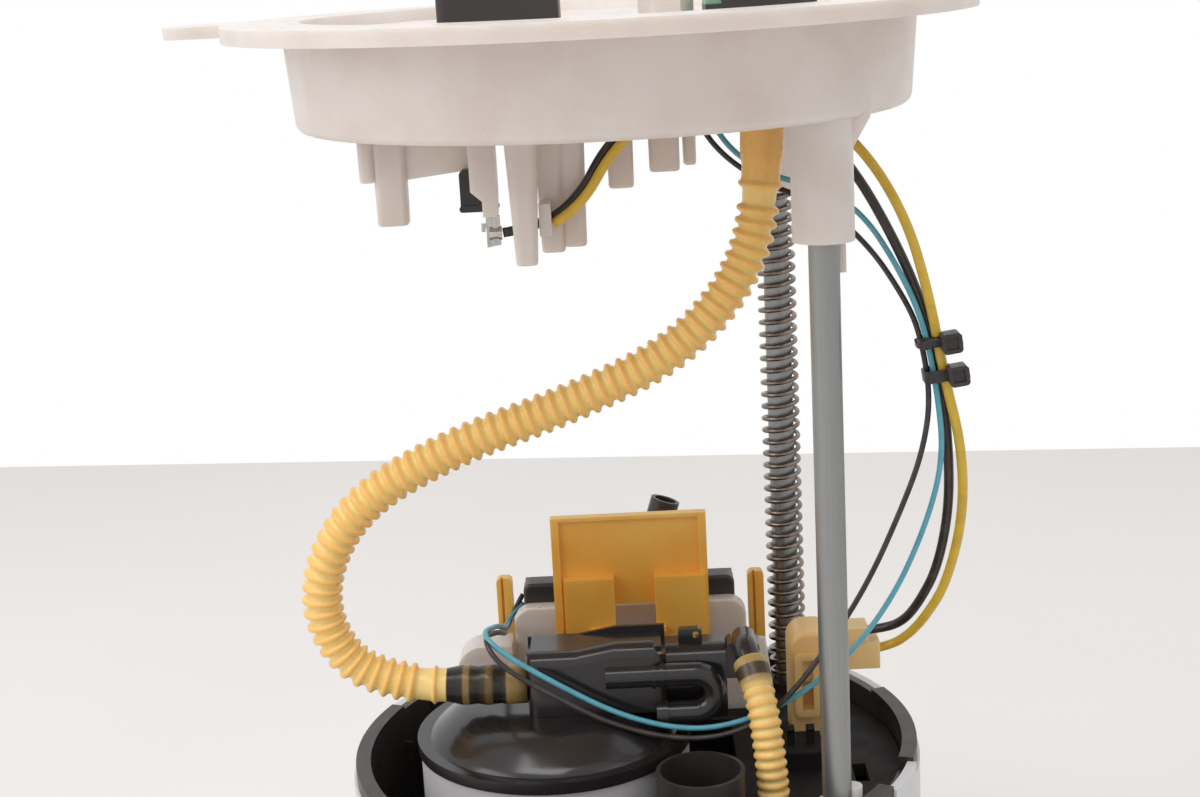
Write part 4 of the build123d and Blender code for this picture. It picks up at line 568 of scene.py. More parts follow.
class Workpiece:
    """One piece on the bench, shaped with edit mode operators and modifiers."""

    def __init__(self, piece: Piece, name: str) -> None:
        """Takes a new primitive, which is active and selected.

        Args:
            piece: The primitive.
            name: The finished piece's name.
        """
        self.piece = piece
        piece.name = name
        piece.data.name = name
        bpy.ops.object.transform_apply(location=True, rotation=True, scale=True)

    @classmethod
    def block(cls, name: str, low: Iterable[float], high: Iterable[float]) -> "Workpiece":
        """Starts from a block between two corners in millimetres.

        Args:
            name: The finished piece's name.
            low: Its lowest corner.
            high: Its highest corner.

        Returns:
            The block on the bench.
        """
        deselect_all()
        first, second = Vector(low) * MM, Vector(high) * MM
        bpy.ops.mesh.primitive_cube_add(
            size=1, location=(first + second) / 2, scale=second - first
        )
        return cls(bpy.context.active_object, name)

    def inset_faces(self, test: Callable[[Vector], bool], width: float) -> None:
        """Insets faces and leaves them picked.

        Args:
            test: Picks a face by its normal.
            width: Width of the inset in millimetres.
        """
        self.clear_picks()
        for face in self.piece.data.polygons:
            face.select = test(face.normal)
        self.edit("FACE")
        bpy.ops.mesh.inset(thickness=width * MM)

    def round_corners(self, axis: str, width: float, segments: int) -> None:
        """Bevels the edges that run along an axis.

        Args:
            axis: The axis, x, y or z.
            width: Width of the bevel in millimetres.
            segments: Number of its steps.
        """
        self.clear_picks()
        points = self.piece.data.vertices
        for edge in self.piece.data.edges:
            first, second = (getattr(points[i].co, axis) for i in edge.vertices)
            edge.select = abs(first - second) > MM
        self.edit("EDGE")
        bpy.ops.mesh.bevel(offset=width * MM, segments=segments, affect="EDGES")

    def clear_picks(self) -> None:
        """Returns to object mode with nothing picked."""
        select_only(self.piece)
        mesh = self.piece.data
        for part in (mesh.vertices, mesh.edges, mesh.polygons):
            part.foreach_set("select", [False] * len(part))

    def edit(self, kind: str) -> None:
        """Enters edit mode in one select mode."""
        bpy.ops.object.mode_set(mode="EDIT")
        bpy.ops.mesh.select_mode(type=kind)

    def modify(self, kind: str, **settings: Any) -> None:
        """Adds a modifier and applies it.

        Args:
            kind: The modifier's type.
            **settings: Its settings.
        """
        self.clear_picks()
        modifier = self.piece.modifiers.new(kind.lower(), kind)
        for key, value in settings.items():
            setattr(modifier, key, value)
        bpy.ops.object.modifier_apply(modifier=modifier.name)

    def soften(self, width: float) -> None:
        """Rounds every sharp edge by a width in millimetres."""
        self.modify("BEVEL", width=width * MM, segments=2, limit_method="ANGLE")

    def done(self, finish: Finish, smooth_angle: float = 35) -> Piece:
        """Cleans, smooths and paints the piece.

        Args:
            finish: Its finish.
            smooth_angle: Angle under which edges shade smoothly, in degrees.

        Returns:
            The piece.
        """
        face_outward(self.piece, merge=True)
        bpy.ops.object.shade_smooth_by_angle(angle=math.radians(smooth_angle))
        finish.paint(self.piece)
        deselect_all()
        return self.piece


@dataclass(frozen=True)
class Station:
    """One ring of a tube.

    Attributes:
        along: Distance from the start in millimetres.
        radius: Outer radius in millimetres.
        pleat: 1 on a pleat's crest, 0 between pleats; it places the hose's painted crest shade.
        band: 1 where something dark shows through.
    """

    along: float
    radius: float
    pleat: float = 0.0
    band: float = 0.0


class SmoothLine:
    """The smooth line that a hose or wire follows.

    Attributes:
        STEPS: Points of the line for each corner of its route.
        REACH: Share of its length over which its direction is read.
    """

    STEPS = 48
    REACH = 0.002

    def __init__(self, name: str, route: Iterable[Triple]) -> None:
        """Draws a NURBS spline through the route's corners and reads its points.

        Args:
            name: Name of the curve.
            route: Corners in millimetres, heights above the reservoir's rim.
        """
        corners = [Vector((x, y, z + RIM_Z)) * MM for x, y, z in route]
        curve = bpy.data.curves.new(name, "CURVE")
        curve.dimensions = "3D"
        spline = curve.splines.new("NURBS")
        spline.points.add(len(corners) - 1)
        for point, corner in zip(spline.points, corners):
            point.co = (*corner, 1.0)
        spline.order_u = 3
        spline.use_endpoint_u = True
        spline.resolution_u = self.STEPS
        bare = bpy.data.objects.new(name, curve)
        mesh = bpy.data.meshes.new_from_object(bare)
        self.points = np.array([v.co for v in mesh.vertices], float)
        bpy.data.meshes.remove(mesh)
        bpy.data.curves.remove(curve)
        steps = np.linalg.norm(np.diff(self.points, axis=0), axis=1)
        self.along = np.concatenate([[0.0], np.cumsum(steps)])

    @property
    def length(self) -> float:
        """Length in metres."""
        return float(self.along[-1])

    def at(self, distances: np.ndarray) -> np.ndarray:
        """Returns the points at distances in metres."""
        columns = [np.interp(distances, self.along, self.points[:, k]) for k in range(3)]
        return np.stack(columns, axis=1)

    def frames(self, distances: np.ndarray) -> tuple[np.ndarray, np.ndarray, np.ndarray]:
        """Returns points with two side directions that never twist.

        Args:
            distances: Places along the line in metres, in order.

        Returns:
            Points, first sides and second sides.
        """
        reach = self.length * self.REACH
        ahead = self.at(np.minimum(distances + reach, self.length))
        behind = self.at(np.maximum(distances - reach, 0.0))
        runs = ahead - behind
        runs /= np.linalg.norm(runs, axis=1)[:, None]
        side = np.cross(runs[0], (0.0, 1.0, 0.0))
        sides = []
        for run in runs:
            side = side - (side @ run) * run
            side = side / np.linalg.norm(side)
            sides.append(side)
        first = np.array(sides)
        return self.at(distances), first, np.cross(runs, first)


def tube(
    name: str, line: SmoothLine, stations: list[Station], sides: int, wall: float
) -> Piece:
    """Sweeps rings along a line into a closed tube.

    Args:
        name: Name of the piece.
        line: The line.
        stations: Its rings.
        sides: Corners of each ring.
        wall: Wall in millimetres, or 0 for a solid one.

    Returns:
        The tube, with the pleat and band marks as attributes.
    """
    stops = np.clip(np.array([s.along for s in stations]) * MM, 0, line.length)
    radii = np.array([s.radius for s in stations]) * MM
    places, first, second = line.frames(stops)
    turns = np.arange(sides) * 2 * math.pi / sides
    spokes = (
        first[:, None, :] * np.cos(turns)[None, :, None]
        + second[:, None, :] * np.sin(turns)[None, :, None]
    )
    rings = [places[:, None, :] + spokes * radii[:, None, None]]
    marks = [(s.pleat, s.band) for s in stations]
    if wall:
        inner = places[:, None, :] + spokes * (radii - wall * MM)[:, None, None]
        rings.append(inner[::-1])
        marks += marks[::-1]
    points = np.concatenate(rings).reshape(-1, 3)
    count = len(points) // sides
    faces = [
        (i * sides + j, i * sides + (j + 1) % sides, k * sides + (j + 1) % sides, k * sides + j)
        for i in range(count if wall else count - 1)
        for k in [(i + 1) % count]
        for j in range(sides)
    ]
    if not wall:
        faces.append(tuple(range(sides - 1, -1, -1)))
        faces.append(tuple(range((count - 1) * sides, count * sides)))
    mesh = bpy.data.meshes.new(name)
    mesh.from_pydata(points.tolist(), [], faces)
    for index, key in enumerate(("pleat", "band")):
        values = np.repeat([mark[index] for mark in marks], sides).astype(np.float32)
        mesh.attributes.new(key, "FLOAT", "POINT").data.foreach_set("value", values)
    mesh.polygons.foreach_set("use_smooth", [True] * len(mesh.polygons))
    piece = bpy.data.objects.new(name, mesh)
    bpy.context.scene.collection.objects.link(piece)
    face_outward(piece)
    deselect_all()
    return piece


@dataclass(frozen=True, kw_only=True)
class Cord:
    """A hose or wire that is held at both ends, in millimetres.

    Attributes:
        name: Name of the piece.
        node: The solid it stands for.
        finish: Its finish.
        route: Corners of its line.
        radius: Outer radius.
        sides: Corners of each ring.
        wall: Thickness of the wall, or 0 for a solid one.
        stiffness: How it bends; not used.
        stride: How many of the line's points would lie between two declared ones; not used.
    """

    name: str
    node: str
    finish: Finish
    route: tuple[Triple, ...]
    radius: float
    sides: int
    wall: float
    stiffness: Stiffness
    stride: int

    def rings(self, length: float) -> list[Station]:
        """Returns every ring of a length in millimetres; each kind of cord has its own."""
        raise NotImplementedError

    def build(self) -> Piece:
        """Returns:
            The finished piece.
        """
        line = SmoothLine(self.name, self.route)
        length = line.length / MM
        piece = tube(self.name, line, self.rings(length), self.sides, self.wall)
        self.finish.paint(piece)
        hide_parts(self.node)
        log.info("%s: %.0f mm", self.name, length)
        return piece


def follow_flange(piece: Piece) -> None:
    """Bakes a piece's placement into its mesh.

    Args:
        piece: The finished piece.
    """
    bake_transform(piece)


@dataclass(frozen=True, kw_only=True)
class PleatedHose(Cord):
    """A corrugated hose with plain cuffs over the barbs at its ends.

    Attributes:
        root: Radius between the pleats; the outer radius is the one over them.
        pleats: First and last crest, as distances along the hose.
        pitch: Distance between crests.
        cuffs: Distance, radius, pleat and band of the rings of the plain ends.
        shape: Height of one pleat at shares of its pitch.
    """

    root: float
    pleats: Pair
    pitch: float
    cuffs: tuple[tuple[float, ...], ...]
    shape: tuple[Pair, ...] = (
        *((-0.5, 0.0), (-0.4, 0.05), (-0.3, 0.3), (-0.2, 0.74), (-0.1, 0.95)),
        *((0.0, 1.0), (0.1, 0.95), (0.2, 0.74), (0.3, 0.3), (0.4, 0.05)),
    )
    finish: Finish = HOSE_AMBER
    stiffness: Stiffness = Stiffness.STIFF
    stride: int = 6

    def rings(self, length: float) -> list[Station]:
        """Returns every ring, cuffs and pleats, of a hose.

        Args:
            length: Length of the line in millimetres.

        Returns:
            The rings in order, the last one at the line's end.
        """
        first, last = self.pleats
        gaps = round((last - first) / self.pitch)
        step = (last - first) / gaps
        rise = self.radius - self.root
        cuffs = [Station(*row) for row in self.cuffs]
        rings = [s for s in cuffs if s.along < first]
        for index in range(gaps + 1):
            crest_at = first + index * step
            for share, height in self.shape:
                # The pleat's height also places the painted crest shade.
                rings.append(Station(crest_at + share * step, self.root + rise * height, height))
        rings += [s for s in cuffs if last < s.along <= length]
        return [*rings[:-1], replace(rings[-1], along=length)]


SUPPLY_HOSE = PleatedHose(
    name="supply_hose",
    node="main_hose",
    route=(
        (31.6, -18.0, 142.2), (31.4, -18.0, 124.0), (26.8, -18.0, 106.4), (12.8, -18.0, 91.2),
        (-9.8, -17.5, 81.3), (-35.3, -17.0, 73.1), (-57.0, -16.0, 61.2), (-66.4, -15.5, 42.7),
        (-61.6, -15.0, 26.4), (-48.5, -15.0, 20.6), (-35.5, -15.0, 19.7), (-22.4, -15.0, 19.5),
    ),
    radius=4.35,
    root=3.3,
    pleats=(22.5, 183.1),
    pitch=2.67,
    cuffs=(
        (0.0, 4.35, 1.0, 0.07), (4.0, 4.4, 1.0, 0.07), (10.5, 4.4, 1.0, 0.07),
        (12.0, 4.25, 1.0, 0.06), (13.6, 3.95, 1.0, 0.04), (16.2, 3.9, 0.9, 0.02),
        (16.7, 4.05, 0.9), (17.1, 4.42, 0.9), (17.4, 4.5, 1.0), (17.7, 4.42, 0.9),
        (18.1, 3.9, 0.6), (18.6, 3.5, 0.2), (20.8, 3.4), (184.6, 3.4), (187.2, 3.5),
        (187.6, 3.75, 0.4), (187.9, 4.1, 0.9), (188.1, 4.2, 1.0), (188.3, 4.1, 0.9),
        (188.6, 3.75, 0.4), (189.0, 3.6), (190.5, 3.6), (190.8, 3.65, 0, 1.0),
        (192.4, 3.95, 0, 1.0), (193.9, 4.28, 0, 0.95), (194.3, 4.32, 0, 0.45),
        (195.4, 4.3, 0, 0.45), (195.8, 4.25, 0, 0.95), (197.2, 4.05, 0, 1.0), (198.7, 4.3, 0, 0.9),
        (199.3, 4.4, 0, 0.55), (200.3, 4.36, 0, 0.55), (200.9, 4.22, 0, 1.0),
        (202.3, 4.08, 0, 1.0), (203.2, 4.25, 0, 0.95), (203.6, 4.3, 0, 0.4),
        (206.0, 4.25, 0, 0.45), (206.6, 4.2, 0, 0.5), (207.9, 4.15, 0, 0.55),
    ),
    sides=36,
    wall=0.7,
)

JET_HOSE = PleatedHose(
    name="jet_hose",
    node="return_hose",
    route=(
        (25.0, -22.0, 24.9), (25.9, -25.4, 22.1), (27.0, -29.0, 17.2), (27.8, -31.0, 9.8),
        (28.4, -32.0, 2.4), (28.7, -32.0, -9.0), (29.6, -31.4, -28.0), (29.4, -31.3, -49.0),
        (30.1, -30.7, -70.5), (30.0, -30.5, -90.35),
    ),
    radius=3.4,
    root=2.9,
    pleats=(7.6, 110.0),
    pitch=2.1,
    cuffs=(
        (0.0, 3.45, 0, 0.3), (0.3, 3.6, 0, 0.3), (1.8, 3.62, 0, 0.35), (2.1, 3.6, 0, 0.85),
        (4.2, 3.5, 0, 0.85), (4.5, 3.5, 0, 0.4), (4.9, 3.58, 0, 0.35), (5.3, 3.45, 0, 0.3),
        (6.0, 3.3, 0, 0.15), (6.5, 3.1), (112.0, 2.9), (113.0, 3.3), (119.9, 3.35),
    ),
    sides=32,
    wall=0.6,
)


@dataclass
class HosePair:
    """The supply hose up to the flange and the jet pump's hose inside the reservoir.

    Attributes:
        stretch: Heights between which the supply hose would follow from reservoir to flange; not
            used.
    """

    stretch: Pair = (134.0, 236.0)

    def build(self) -> None:
        """Builds both hoses and attaches the jet pump's hose to the reservoir."""
        follow_flange(SUPPLY_HOSE.build())
        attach(JET_HOSE.build(), Body.RESERVOIR.value)


@dataclass(frozen=True, kw_only=True)
class Wire(Cord):
    """A round insulated wire.

    Attributes:
        step: Largest distance between its rings.
    """

    sides: int = 20
    wall: float = 0.0
    stiffness: Stiffness = Stiffness.MEDIUM
    stride: int = 8
    step: float = 1.2

    def rings(self, length: float) -> list[Station]:
        """Returns evenly spaced rings over a length in millimetres."""
        count = max(2, math.ceil(length / self.step))
        return [Station(length * i / count, self.radius) for i in range(count + 1)]


POWER_RADIUS = 1.02
SIGNAL_RADIUS = 0.58
WIRES = (
    Wire(
        name="yellow_wire", node="wire_yellow", finish=WIRE_YELLOW, radius=POWER_RADIUS,
        route=(
            (-11.3, -10.5, 117.9), (-5.4, -10.5, 121.0), (1.2, -10.0, 132.0), (11.5, -8.4, 140.2),
            (25.5, -7.4, 142.5), (40.1, -8.0, 140.6), (51.7, -14.0, 130.9), (59.3, -20.4, 117.3),
            (63.1, -24.6, 102.0), (66.0, -25.05, 84.6), (69.6, -23.6, 70.0), (70.8, -18.0, 53.4),
            (68.5, -10.4, 36.2), (64.7, -4.8, 26.6), (61.7, 1.0, 20.4), (58.2, 4.3, 16.8),
            (52.8, 4.8, 15.8),
        ),
    ),
    Wire(
        name="black_power_wire", node="wire_black_power", finish=WIRE_BLACK, radius=POWER_RADIUS,
        route=(
            (-21.9, -8.5, 116.2), (-13.8, -8.3, 117.2), (-5.7, -8.3, 122.8), (0.2, -7.6, 133.1),
            (10.6, -5.2, 141.3), (25.1, -4.5, 144.2), (39.0, -5.8, 139.5), (49.9, -12.0, 126.7),
            (57.0, -18.2, 113.0), (62.4, -22.6, 99.0), (65.6, -22.85, 84.0), (67.3, -21.2, 69.5),
            (68.1, -16.4, 54.4), (66.6, -9.8, 39.4), (63.4, -4.6, 30.0), (60.7, 0.6, 23.9),
            (56.7, 3.9, 21.1), (51.0, 4.8, 20.5),
        ),
    ),
    Wire(
        name="blue_wire", node="wire_blue", finish=WIRE_BLUE, radius=SIGNAL_RADIUS,
        route=(
            (20.4, -2.0, 146.7), (21.2, -2.6, 138.4), (25.4, -5.6, 130.6), (33.9, -8.2, 124.9),
            (43.5, -10.4, 122.7), (51.5, -14.6, 117.4), (57.2, -21.0, 107.8), (62.0, -24.7, 96.4),
            (64.7, -24.85, 80.8), (65.5, -25.5, 68.0), (62.0, -25.5, 54.6), (55.0, -26.0, 39.3),
            (45.6, -26.0, 26.8), (35.1, -24.3, 17.7), (24.1, -23.6, 12.2), (11.8, -23.9, 10.6),
            (-2.8, -23.5, 14.6), (-17.1, -23.5, 23.2), (-26.5, -22.5, 29.1), (-31.4, -19.5, 33.0),
            (-28.9, -9.0, 30.7), (-28.7, 3.0, 26.0), (-28.9, 15.0, 21.4), (-29.3, 26.0, 18.0),
            (-28.6, 32.6, 17.8), (-25.6, 35.2, 20.0),
        ),
    ),
    Wire(
        name="black_signal_wire", node="wire_black_signal", finish=WIRE_BLACK, radius=SIGNAL_RADIUS,
        route=(
            (17.4, -0.6, 146.7), (18.4, -1.2, 138.2), (23.2, -4.0, 130.0), (32.6, -6.2, 123.2),
            (43.5, -9.4, 119.2), (52.8, -14.4, 110.6), (58.6, -20.6, 101.0), (61.3, -23.6, 94.4),
            (63.4, -23.9, 80.8), (61.2, -26.0, 69.6), (56.6, -27.6, 58.6), (49.8, -27.6, 43.6),
            (41.6, -27.5, 30.4), (32.9, -25.6, 18.0), (24.0, -25.2, 10.9), (11.7, -25.5, 9.0),
            (-3.9, -25.0, 12.8), (-18.2, -25.0, 21.3), (-27.9, -24.0, 27.6), (-30.9, -20.5, 32.4),
            (-29.0, -9.5, 29.4), (-28.7, 3.0, 24.6), (-28.9, 15.0, 20.0), (-29.3, 26.0, 16.6),
            (-28.6, 33.4, 17.4), (-25.6, 36.0, 22.0),
        ),
    ),
)


@dataclass(frozen=True)
class CableTie:
    """A nylon tie: strap, ratchet head and cut tail, in millimetres.

    Attributes:
        name: Name of the piece.
        node: The solid it stands for.
        centre: Centre of the bundle.
        inner: Width and depth inside the strap.
        strap: Thickness of the strap.
        width: Width of the strap.
        tooth: Width, depth and height of a tooth.
        head: Size of the head.
        rim: Rounding of the head's corners and width of the rim round its mouth.
        mouth: Depth of its mouth.
        tail: Lowest and highest corner of the tail, from the head's right corner at the back.
        slant: How far the tie's right side is turned up, in degrees.
    """

    BEND, EDGE, TAIL_EDGE = 1.9, 0.18, 0.12  # roundings of corners and edges
    TEETH, TOOTH_PITCH, TOOTH_START, TOOTH_RISE = 4, 1.1, -2.0, 0.02

    name: str
    node: str
    centre: Triple
    inner: Pair = (4.5, 4.7)
    strap: float = 0.75
    width: float = 2.5
    tooth: Triple = (0.55, 0.24, 1.6)
    head: Triple = (4.0, 3.9, 4.1)
    rim: float = 0.8
    mouth: float = 0.5
    tail: tuple[Triple, Triple] = ((-0.3, -2.2, -1.1), (0.35, -1.3, 1.1))
    slant: float = 8.0

    def make_strap(self) -> Workpiece:
        """Bends the strap round the bundle.

        Returns:
            The strap on the bench.
        """
        half = (*(side / 2 + self.strap for side in self.inner), self.width / 2)
        low, high = ([c + s * h for c, h in zip(self.centre, half)] for s in (-1, 1))
        strap = Workpiece.block(self.name, low, high)
        strap.round_corners("z", self.BEND, 6)
        strap.inset_faces(lambda normal: abs(normal.z) > 0.9, self.strap)
        bpy.ops.mesh.bridge_edge_loops()
        strap.soften(self.EDGE)
        return strap

    def make_teeth(self) -> list[Workpiece]:
        """Sets the teeth on the front and the back of the strap.

        Returns:
            The teeth.
        """
        x, y, z = self.centre
        wide, deep, high = self.tooth
        face = self.inner[1] / 2 + self.strap + self.TOOTH_RISE
        teeth = []
        for side in (-1, 1):
            for index in range(self.TEETH):
                left = x + self.TOOTH_START + index * self.TOOTH_PITCH
                middle = y + side * face
                low = (left, middle - deep / 2, z - high / 2)
                top = (left + wide, middle + deep / 2, z + high / 2)
                teeth.append(Workpiece.block("tooth", low, top))
        return teeth

    def make_head(self) -> tuple[Workpiece, Workpiece]:
        """Makes the head in front of the strap, with its mouth, and the cut tail.

        Returns:
            The head and the tail.
        """
        x, y, z = self.centre
        size_x, size_y, size_z = self.head
        left = x + self.inner[0] / 2 - self.strap
        back = y - self.inner[1] / 2 + self.strap / 2
        low = (left, back - size_y, z - size_z / 2)
        head = Workpiece.block("head", low, (left + size_x, back, z + size_z / 2))
        head.round_corners("y", self.rim, 4)
        head.inset_faces(lambda normal: normal.y < -0.9, self.rim)
        sink = {"value": Vector((0, self.mouth, 0)) * MM}
        bpy.ops.mesh.extrude_region_move(TRANSFORM_OT_translate=sink)
        head.soften(self.EDGE)
        root = (left + size_x, back, z)
        low, high = ([r + c for r, c in zip(root, corner)] for corner in self.tail)
        tail = Workpiece.block("tail", low, high)
        tail.soften(self.TAIL_EDGE)
        return head, tail

    def build(self) -> Piece:
        """Builds and paints the tie.

        Returns:
            The finished piece.
        """
        strap = self.make_strap()
        parts = (*self.make_teeth(), *self.make_head())
        strap.clear_picks()
        for part in parts:
            part.piece.select_set(True)
        bpy.ops.object.join()
        piece = strap.done(SATIN_BLACK)
        middle = Matrix.Translation(Vector(self.centre) * MM)
        turn = Matrix.Rotation(math.radians(-self.slant), 4, "Y")
        piece.data.transform(middle @ turn @ middle.inverted())
        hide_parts(self.node)
        log.info("%s at %.0f mm", self.name, self.centre[2])
        return piece


@dataclass
class WireLoom:
    """The four wires with the two ties round them.

    Attributes:
        stretch: Heights between which they would follow from reservoir to flange; not used.
        wires: The wires.
        ties: The ties.
    """

    stretch: Pair = (122.0, 246.0)
    wires: tuple[Wire, ...] = WIRES
    ties: tuple[CableTie, ...] = (
        CableTie("tie_upper", "cable_tie_1", (63.35, -24.1, RIM_Z + 92.2)),
        CableTie("tie_lower", "cable_tie_2", (64.7, -24.1, RIM_Z + 85.5)),
    )

    def build(self) -> None:
        """Builds the loom and bakes each piece's placement into its mesh."""
        for part in (*self.wires, *self.ties):
            follow_flange(part.build())


@dataclass
class GuideSpring:
    """The coil spring round the rear rod, in millimetres.

    Attributes:
        axis: Centre of the rod.
        bottom: Height of its lower end.
        top: Height of its upper end.
        outer: Outer radius.
        wire: Radius of the wire.
        wire_sides: Corners of the wire's section.
        turns: Number of turns.
        turn_steps: Sections in each turn.
        smooth_angle: Angle under which edges shade smoothly, in degrees.
        travel: How far the flange goes down; not used.
    """

    axis: Pair = (38.0, 40.0)
    bottom: float = 101.1
    top: float = 220.85
    outer: float = 4.55
    wire: float = 0.55
    wire_sides: int = 12
    turns: int = 41
    turn_steps: int = 30
    smooth_angle: float = 80.0
    travel: float = 45.0

    def build(self) -> None:
        """Winds the spring from a ring of wire with a screw."""
        deselect_all()
        mean = self.outer - self.wire
        rise = self.top - self.bottom - 2 * self.wire
        place = Vector((self.axis[0], self.axis[1], self.bottom + self.wire)) * MM
        bpy.ops.mesh.primitive_circle_add(
            vertices=self.wire_sides,
            radius=self.wire * MM,
            location=(mean * MM, 0, 0),
            rotation=(math.pi / 2, 0, 0),
        )
        coil = Workpiece(bpy.context.active_object, "guide_spring")
        coil.modify(
            "SCREW",
            angle=2 * math.pi,
            screw_offset=rise / self.turns * MM,
            iterations=self.turns,
            steps=self.turn_steps,
            render_steps=self.turn_steps,
            use_merge_vertices=True,
            merge_threshold=MERGE_DISTANCE,
        )
        coil.piece.data.transform(Matrix.Translation(place))
        coil.clear_picks()
        coil.edit("EDGE")
        bpy.ops.mesh.select_non_manifold()
        bpy.ops.mesh.fill_holes(sides=0)
        piece = coil.done(SPRING_STEEL, self.smooth_angle)
        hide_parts("spring")
        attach(piece, Body.RESERVOIR.value)
        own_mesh(piece)
        log.info("guide_spring: %d turns", self.turns)


@dataclass
class CarriedPieces:
    """The rigid pieces that keep their own shape and get a finish.

    Attributes:
        finishes: Each finish with the names of the pieces that get it.
    """

    finishes: tuple[tuple[Finish, str], ...] = CARRIED

    def dress(self) -> None:
        """Paints every carried-over piece that still shows."""
        for finish, names in self.finishes:
            for name in names.split():
                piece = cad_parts[name]
                if not piece.hide_render:
                    finish.repaint(piece)
                    log.info("%s: %s", name, finish.name)


@dataclass(frozen=True)
class Lamp:
    """A soft square lamp.

    Attributes:
        name: Its name.
        place: Its place in metres.
        size: Its side in metres.
        watts: Its power.
    """

    name: str
    place: Triple
    size: float
    watts: float

    def hang(self, target: Triple) -> None:
        """Hangs the lamp.

        Args:
            target: Point that it looks at, in metres.
        """
        data = bpy.data.lights.new(self.name, "AREA")
        data.shape = "SQUARE"
        data.size = self.size
        data.energy = self.watts
        lamp = bpy.data.objects.new(self.name, data)
        lamp.location = self.place
        aim = Vector(target) - Vector(self.place)
        lamp.rotation_euler = aim.to_track_quat("-Z", "Y").to_euler()
        bpy.context.scene.collection.objects.link(lamp)


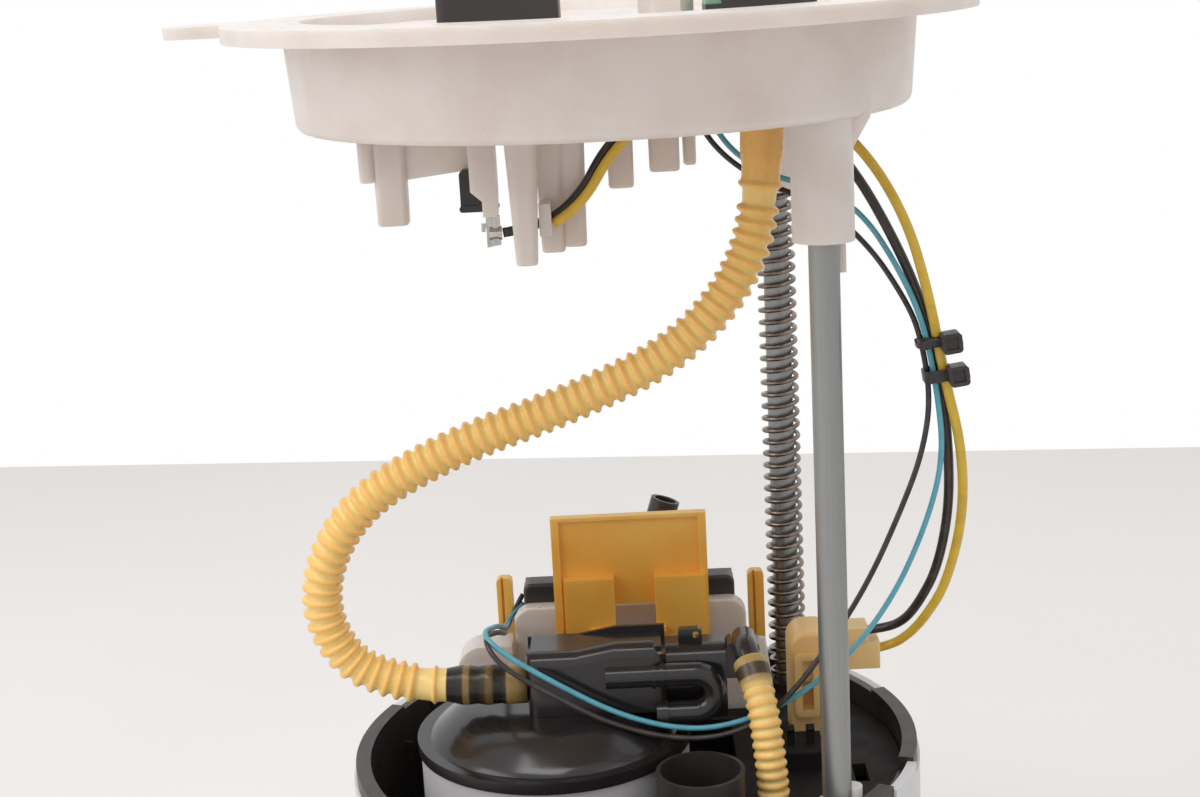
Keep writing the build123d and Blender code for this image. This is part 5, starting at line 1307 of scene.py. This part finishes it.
@dataclass
class Studio:
    """Pale table, white surround, soft lamps and the camera.

    Attributes:
        eye: Camera position in millimetres.
        pitch: Angle down in radians.
        yaw: Turn to the right in radians.
        roll: Tilt in radians.
        focal: Focal length in pixels of the picture's width.
        sensor: Width of the sensor in millimetres.
        clip: Nearest and furthest distance that the camera sees, in metres.
        table_back: Ends of the table's back edge in millimetres.
        table_size: How far it goes on past those ends and comes forward.
        table_colours: The table's two colours.
        table_glow: How much brighter the table looks than it lights the module.
        shade_level: Brightness of the surround as light on the module.
        gloss_level: Brightness of the surround in glossy surfaces.
        target: Point that the lamps look at, in metres.
        lamps: The lamps.
    """

    TABLE_CLOUD_MM, TABLE_ROUGHNESS, TABLE_GLOSS = 260.0, 0.6, 0.3
    GLOW_COLOUR = (1, 0.98, 0.965, 1)

    eye: Triple = (3.2, -397.94, 277.69)
    pitch: float = 0.23354
    yaw: float = -0.01786
    roll: float = -0.05299
    focal: float = 1899.23
    sensor: float = 36.0
    clip: Pair = (0.01, 20.0)
    table_back: tuple[Pair, Pair] = ((-368.0, 670.0), (306.0, 589.0))
    table_size: Pair = (2500.0, 3200.0)
    table_colours: tuple[Colour, Colour] = (Colour(234, 231, 228), Colour(230, 226, 223))
    table_glow: float = 0.1
    shade_level: float = 0.57
    gloss_level: float = 0.85
    target: Triple = (0, 0, 0.15)
    lamps: tuple[Lamp, ...] = (
        Lamp("lamp_left", (-1.0, -0.5, 0.8), 0.7, 4.2),
        Lamp("lamp_right", (0.9, -0.5, 0.8), 0.6, 0.5),
        Lamp("lamp_top", (-0.12, -0.28, 1.15), 0.6, 4.8),
    )

    def camera(self) -> None:
        """Places the camera."""
        dive, tilt = math.cos(self.pitch), math.sin(self.pitch)
        ahead = Vector((math.sin(self.yaw) * dive, math.cos(self.yaw) * dive, -tilt))
        level = Vector((math.cos(self.yaw), -math.sin(self.yaw), 0))
        above = level.cross(ahead)
        right = level * math.cos(self.roll) + above * math.sin(self.roll)
        up = above * math.cos(self.roll) - level * math.sin(self.roll)
        data = bpy.data.cameras.new("camera")
        data.sensor_width = self.sensor
        data.lens = self.focal * self.sensor / PIXELS_WIDE
        data.clip_start, data.clip_end = self.clip
        camera = bpy.data.objects.new("camera", data)
        turned = Matrix((right, up, -ahead)).transposed().to_4x4()
        camera.matrix_world = Matrix.Translation(Vector(self.eye) * MM) @ turned
        bpy.context.scene.collection.objects.link(camera)
        bpy.context.scene.camera = camera

    def table(self) -> None:
        """Lays the pale table top with its back edge behind the module."""
        deselect_all()
        left, right = (Vector((*p, 0)) for p in self.table_back)
        run = (right - left).normalized()
        side, depth = self.table_size
        back = [left - run * side, right + run * side]
        front = [corner + Vector((run.y, -run.x, 0)) * depth for corner in back]
        bpy.ops.mesh.primitive_plane_add(size=1)
        table = bpy.context.active_object
        table.name = "table"
        for point, place in zip(table.data.vertices, front + back):
            point.co = place * MM
        pad = MaterialPad("table_top")
        clouds = pad.graded(pad.cloud(self.TABLE_CLOUD_MM, 2.0), WIDE)
        pad.set(
            Base_Color=pad.mixed(clouds, *self.table_colours),
            Roughness=self.TABLE_ROUGHNESS,
            Specular_IOR_Level=self.TABLE_GLOSS,
        )
        seen = pad.add("ShaderNodeLightPath", {}).outputs["Is Camera Ray"]
        glow = pad.math("MULTIPLY", seen, self.table_glow)
        pad.set(Emission_Color=self.GLOW_COLOUR, Emission_Strength=glow)
        table.data.materials.append(pad.material)
        deselect_all()

    def surround(self) -> None:
        """Makes a white surround that lights the module softly."""
        world = bpy.data.worlds.new("surround")
        world.use_nodes = True
        bpy.context.scene.world = world
        pad = NodePad(world.node_tree)
        ray = pad.add("ShaderNodeLightPath", {}).outputs
        seen = pad.math("MAXIMUM", ray["Is Camera Ray"], ray["Is Transmission Ray"])
        glossy = pad.math("MULTIPLY", ray["Is Glossy Ray"], self.gloss_level)
        share = pad.math("MAXIMUM", seen, glossy)
        back = pad.nodes["Background"]
        pad.feed(back.inputs["Color"], (1, 1, 1, 1))
        pad.feed(back.inputs["Strength"], pad.graded(share, WHOLE, (self.shade_level, 1)))

    def build(self) -> None:
        """Sets up the whole studio."""
        bpy.context.scene.view_settings.view_transform = "Standard"
        self.camera()
        self.table()
        self.surround()
        for lamp in self.lamps:
            lamp.hang(self.target)


def write_sizes() -> None:
    """Updates the view layer.
    """
    bpy.context.view_layer.update()


def main() -> None:
    """Builds every sub-assembly in order."""
    logging.basicConfig(level=logging.INFO, format="%(message)s")
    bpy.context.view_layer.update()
    Studio().build()
    HosePair().build()
    WireLoom().build()
    GuideSpring().build()
    CarriedPieces().dress()
    write_sizes()


if __name__ == "__main__":
    main()
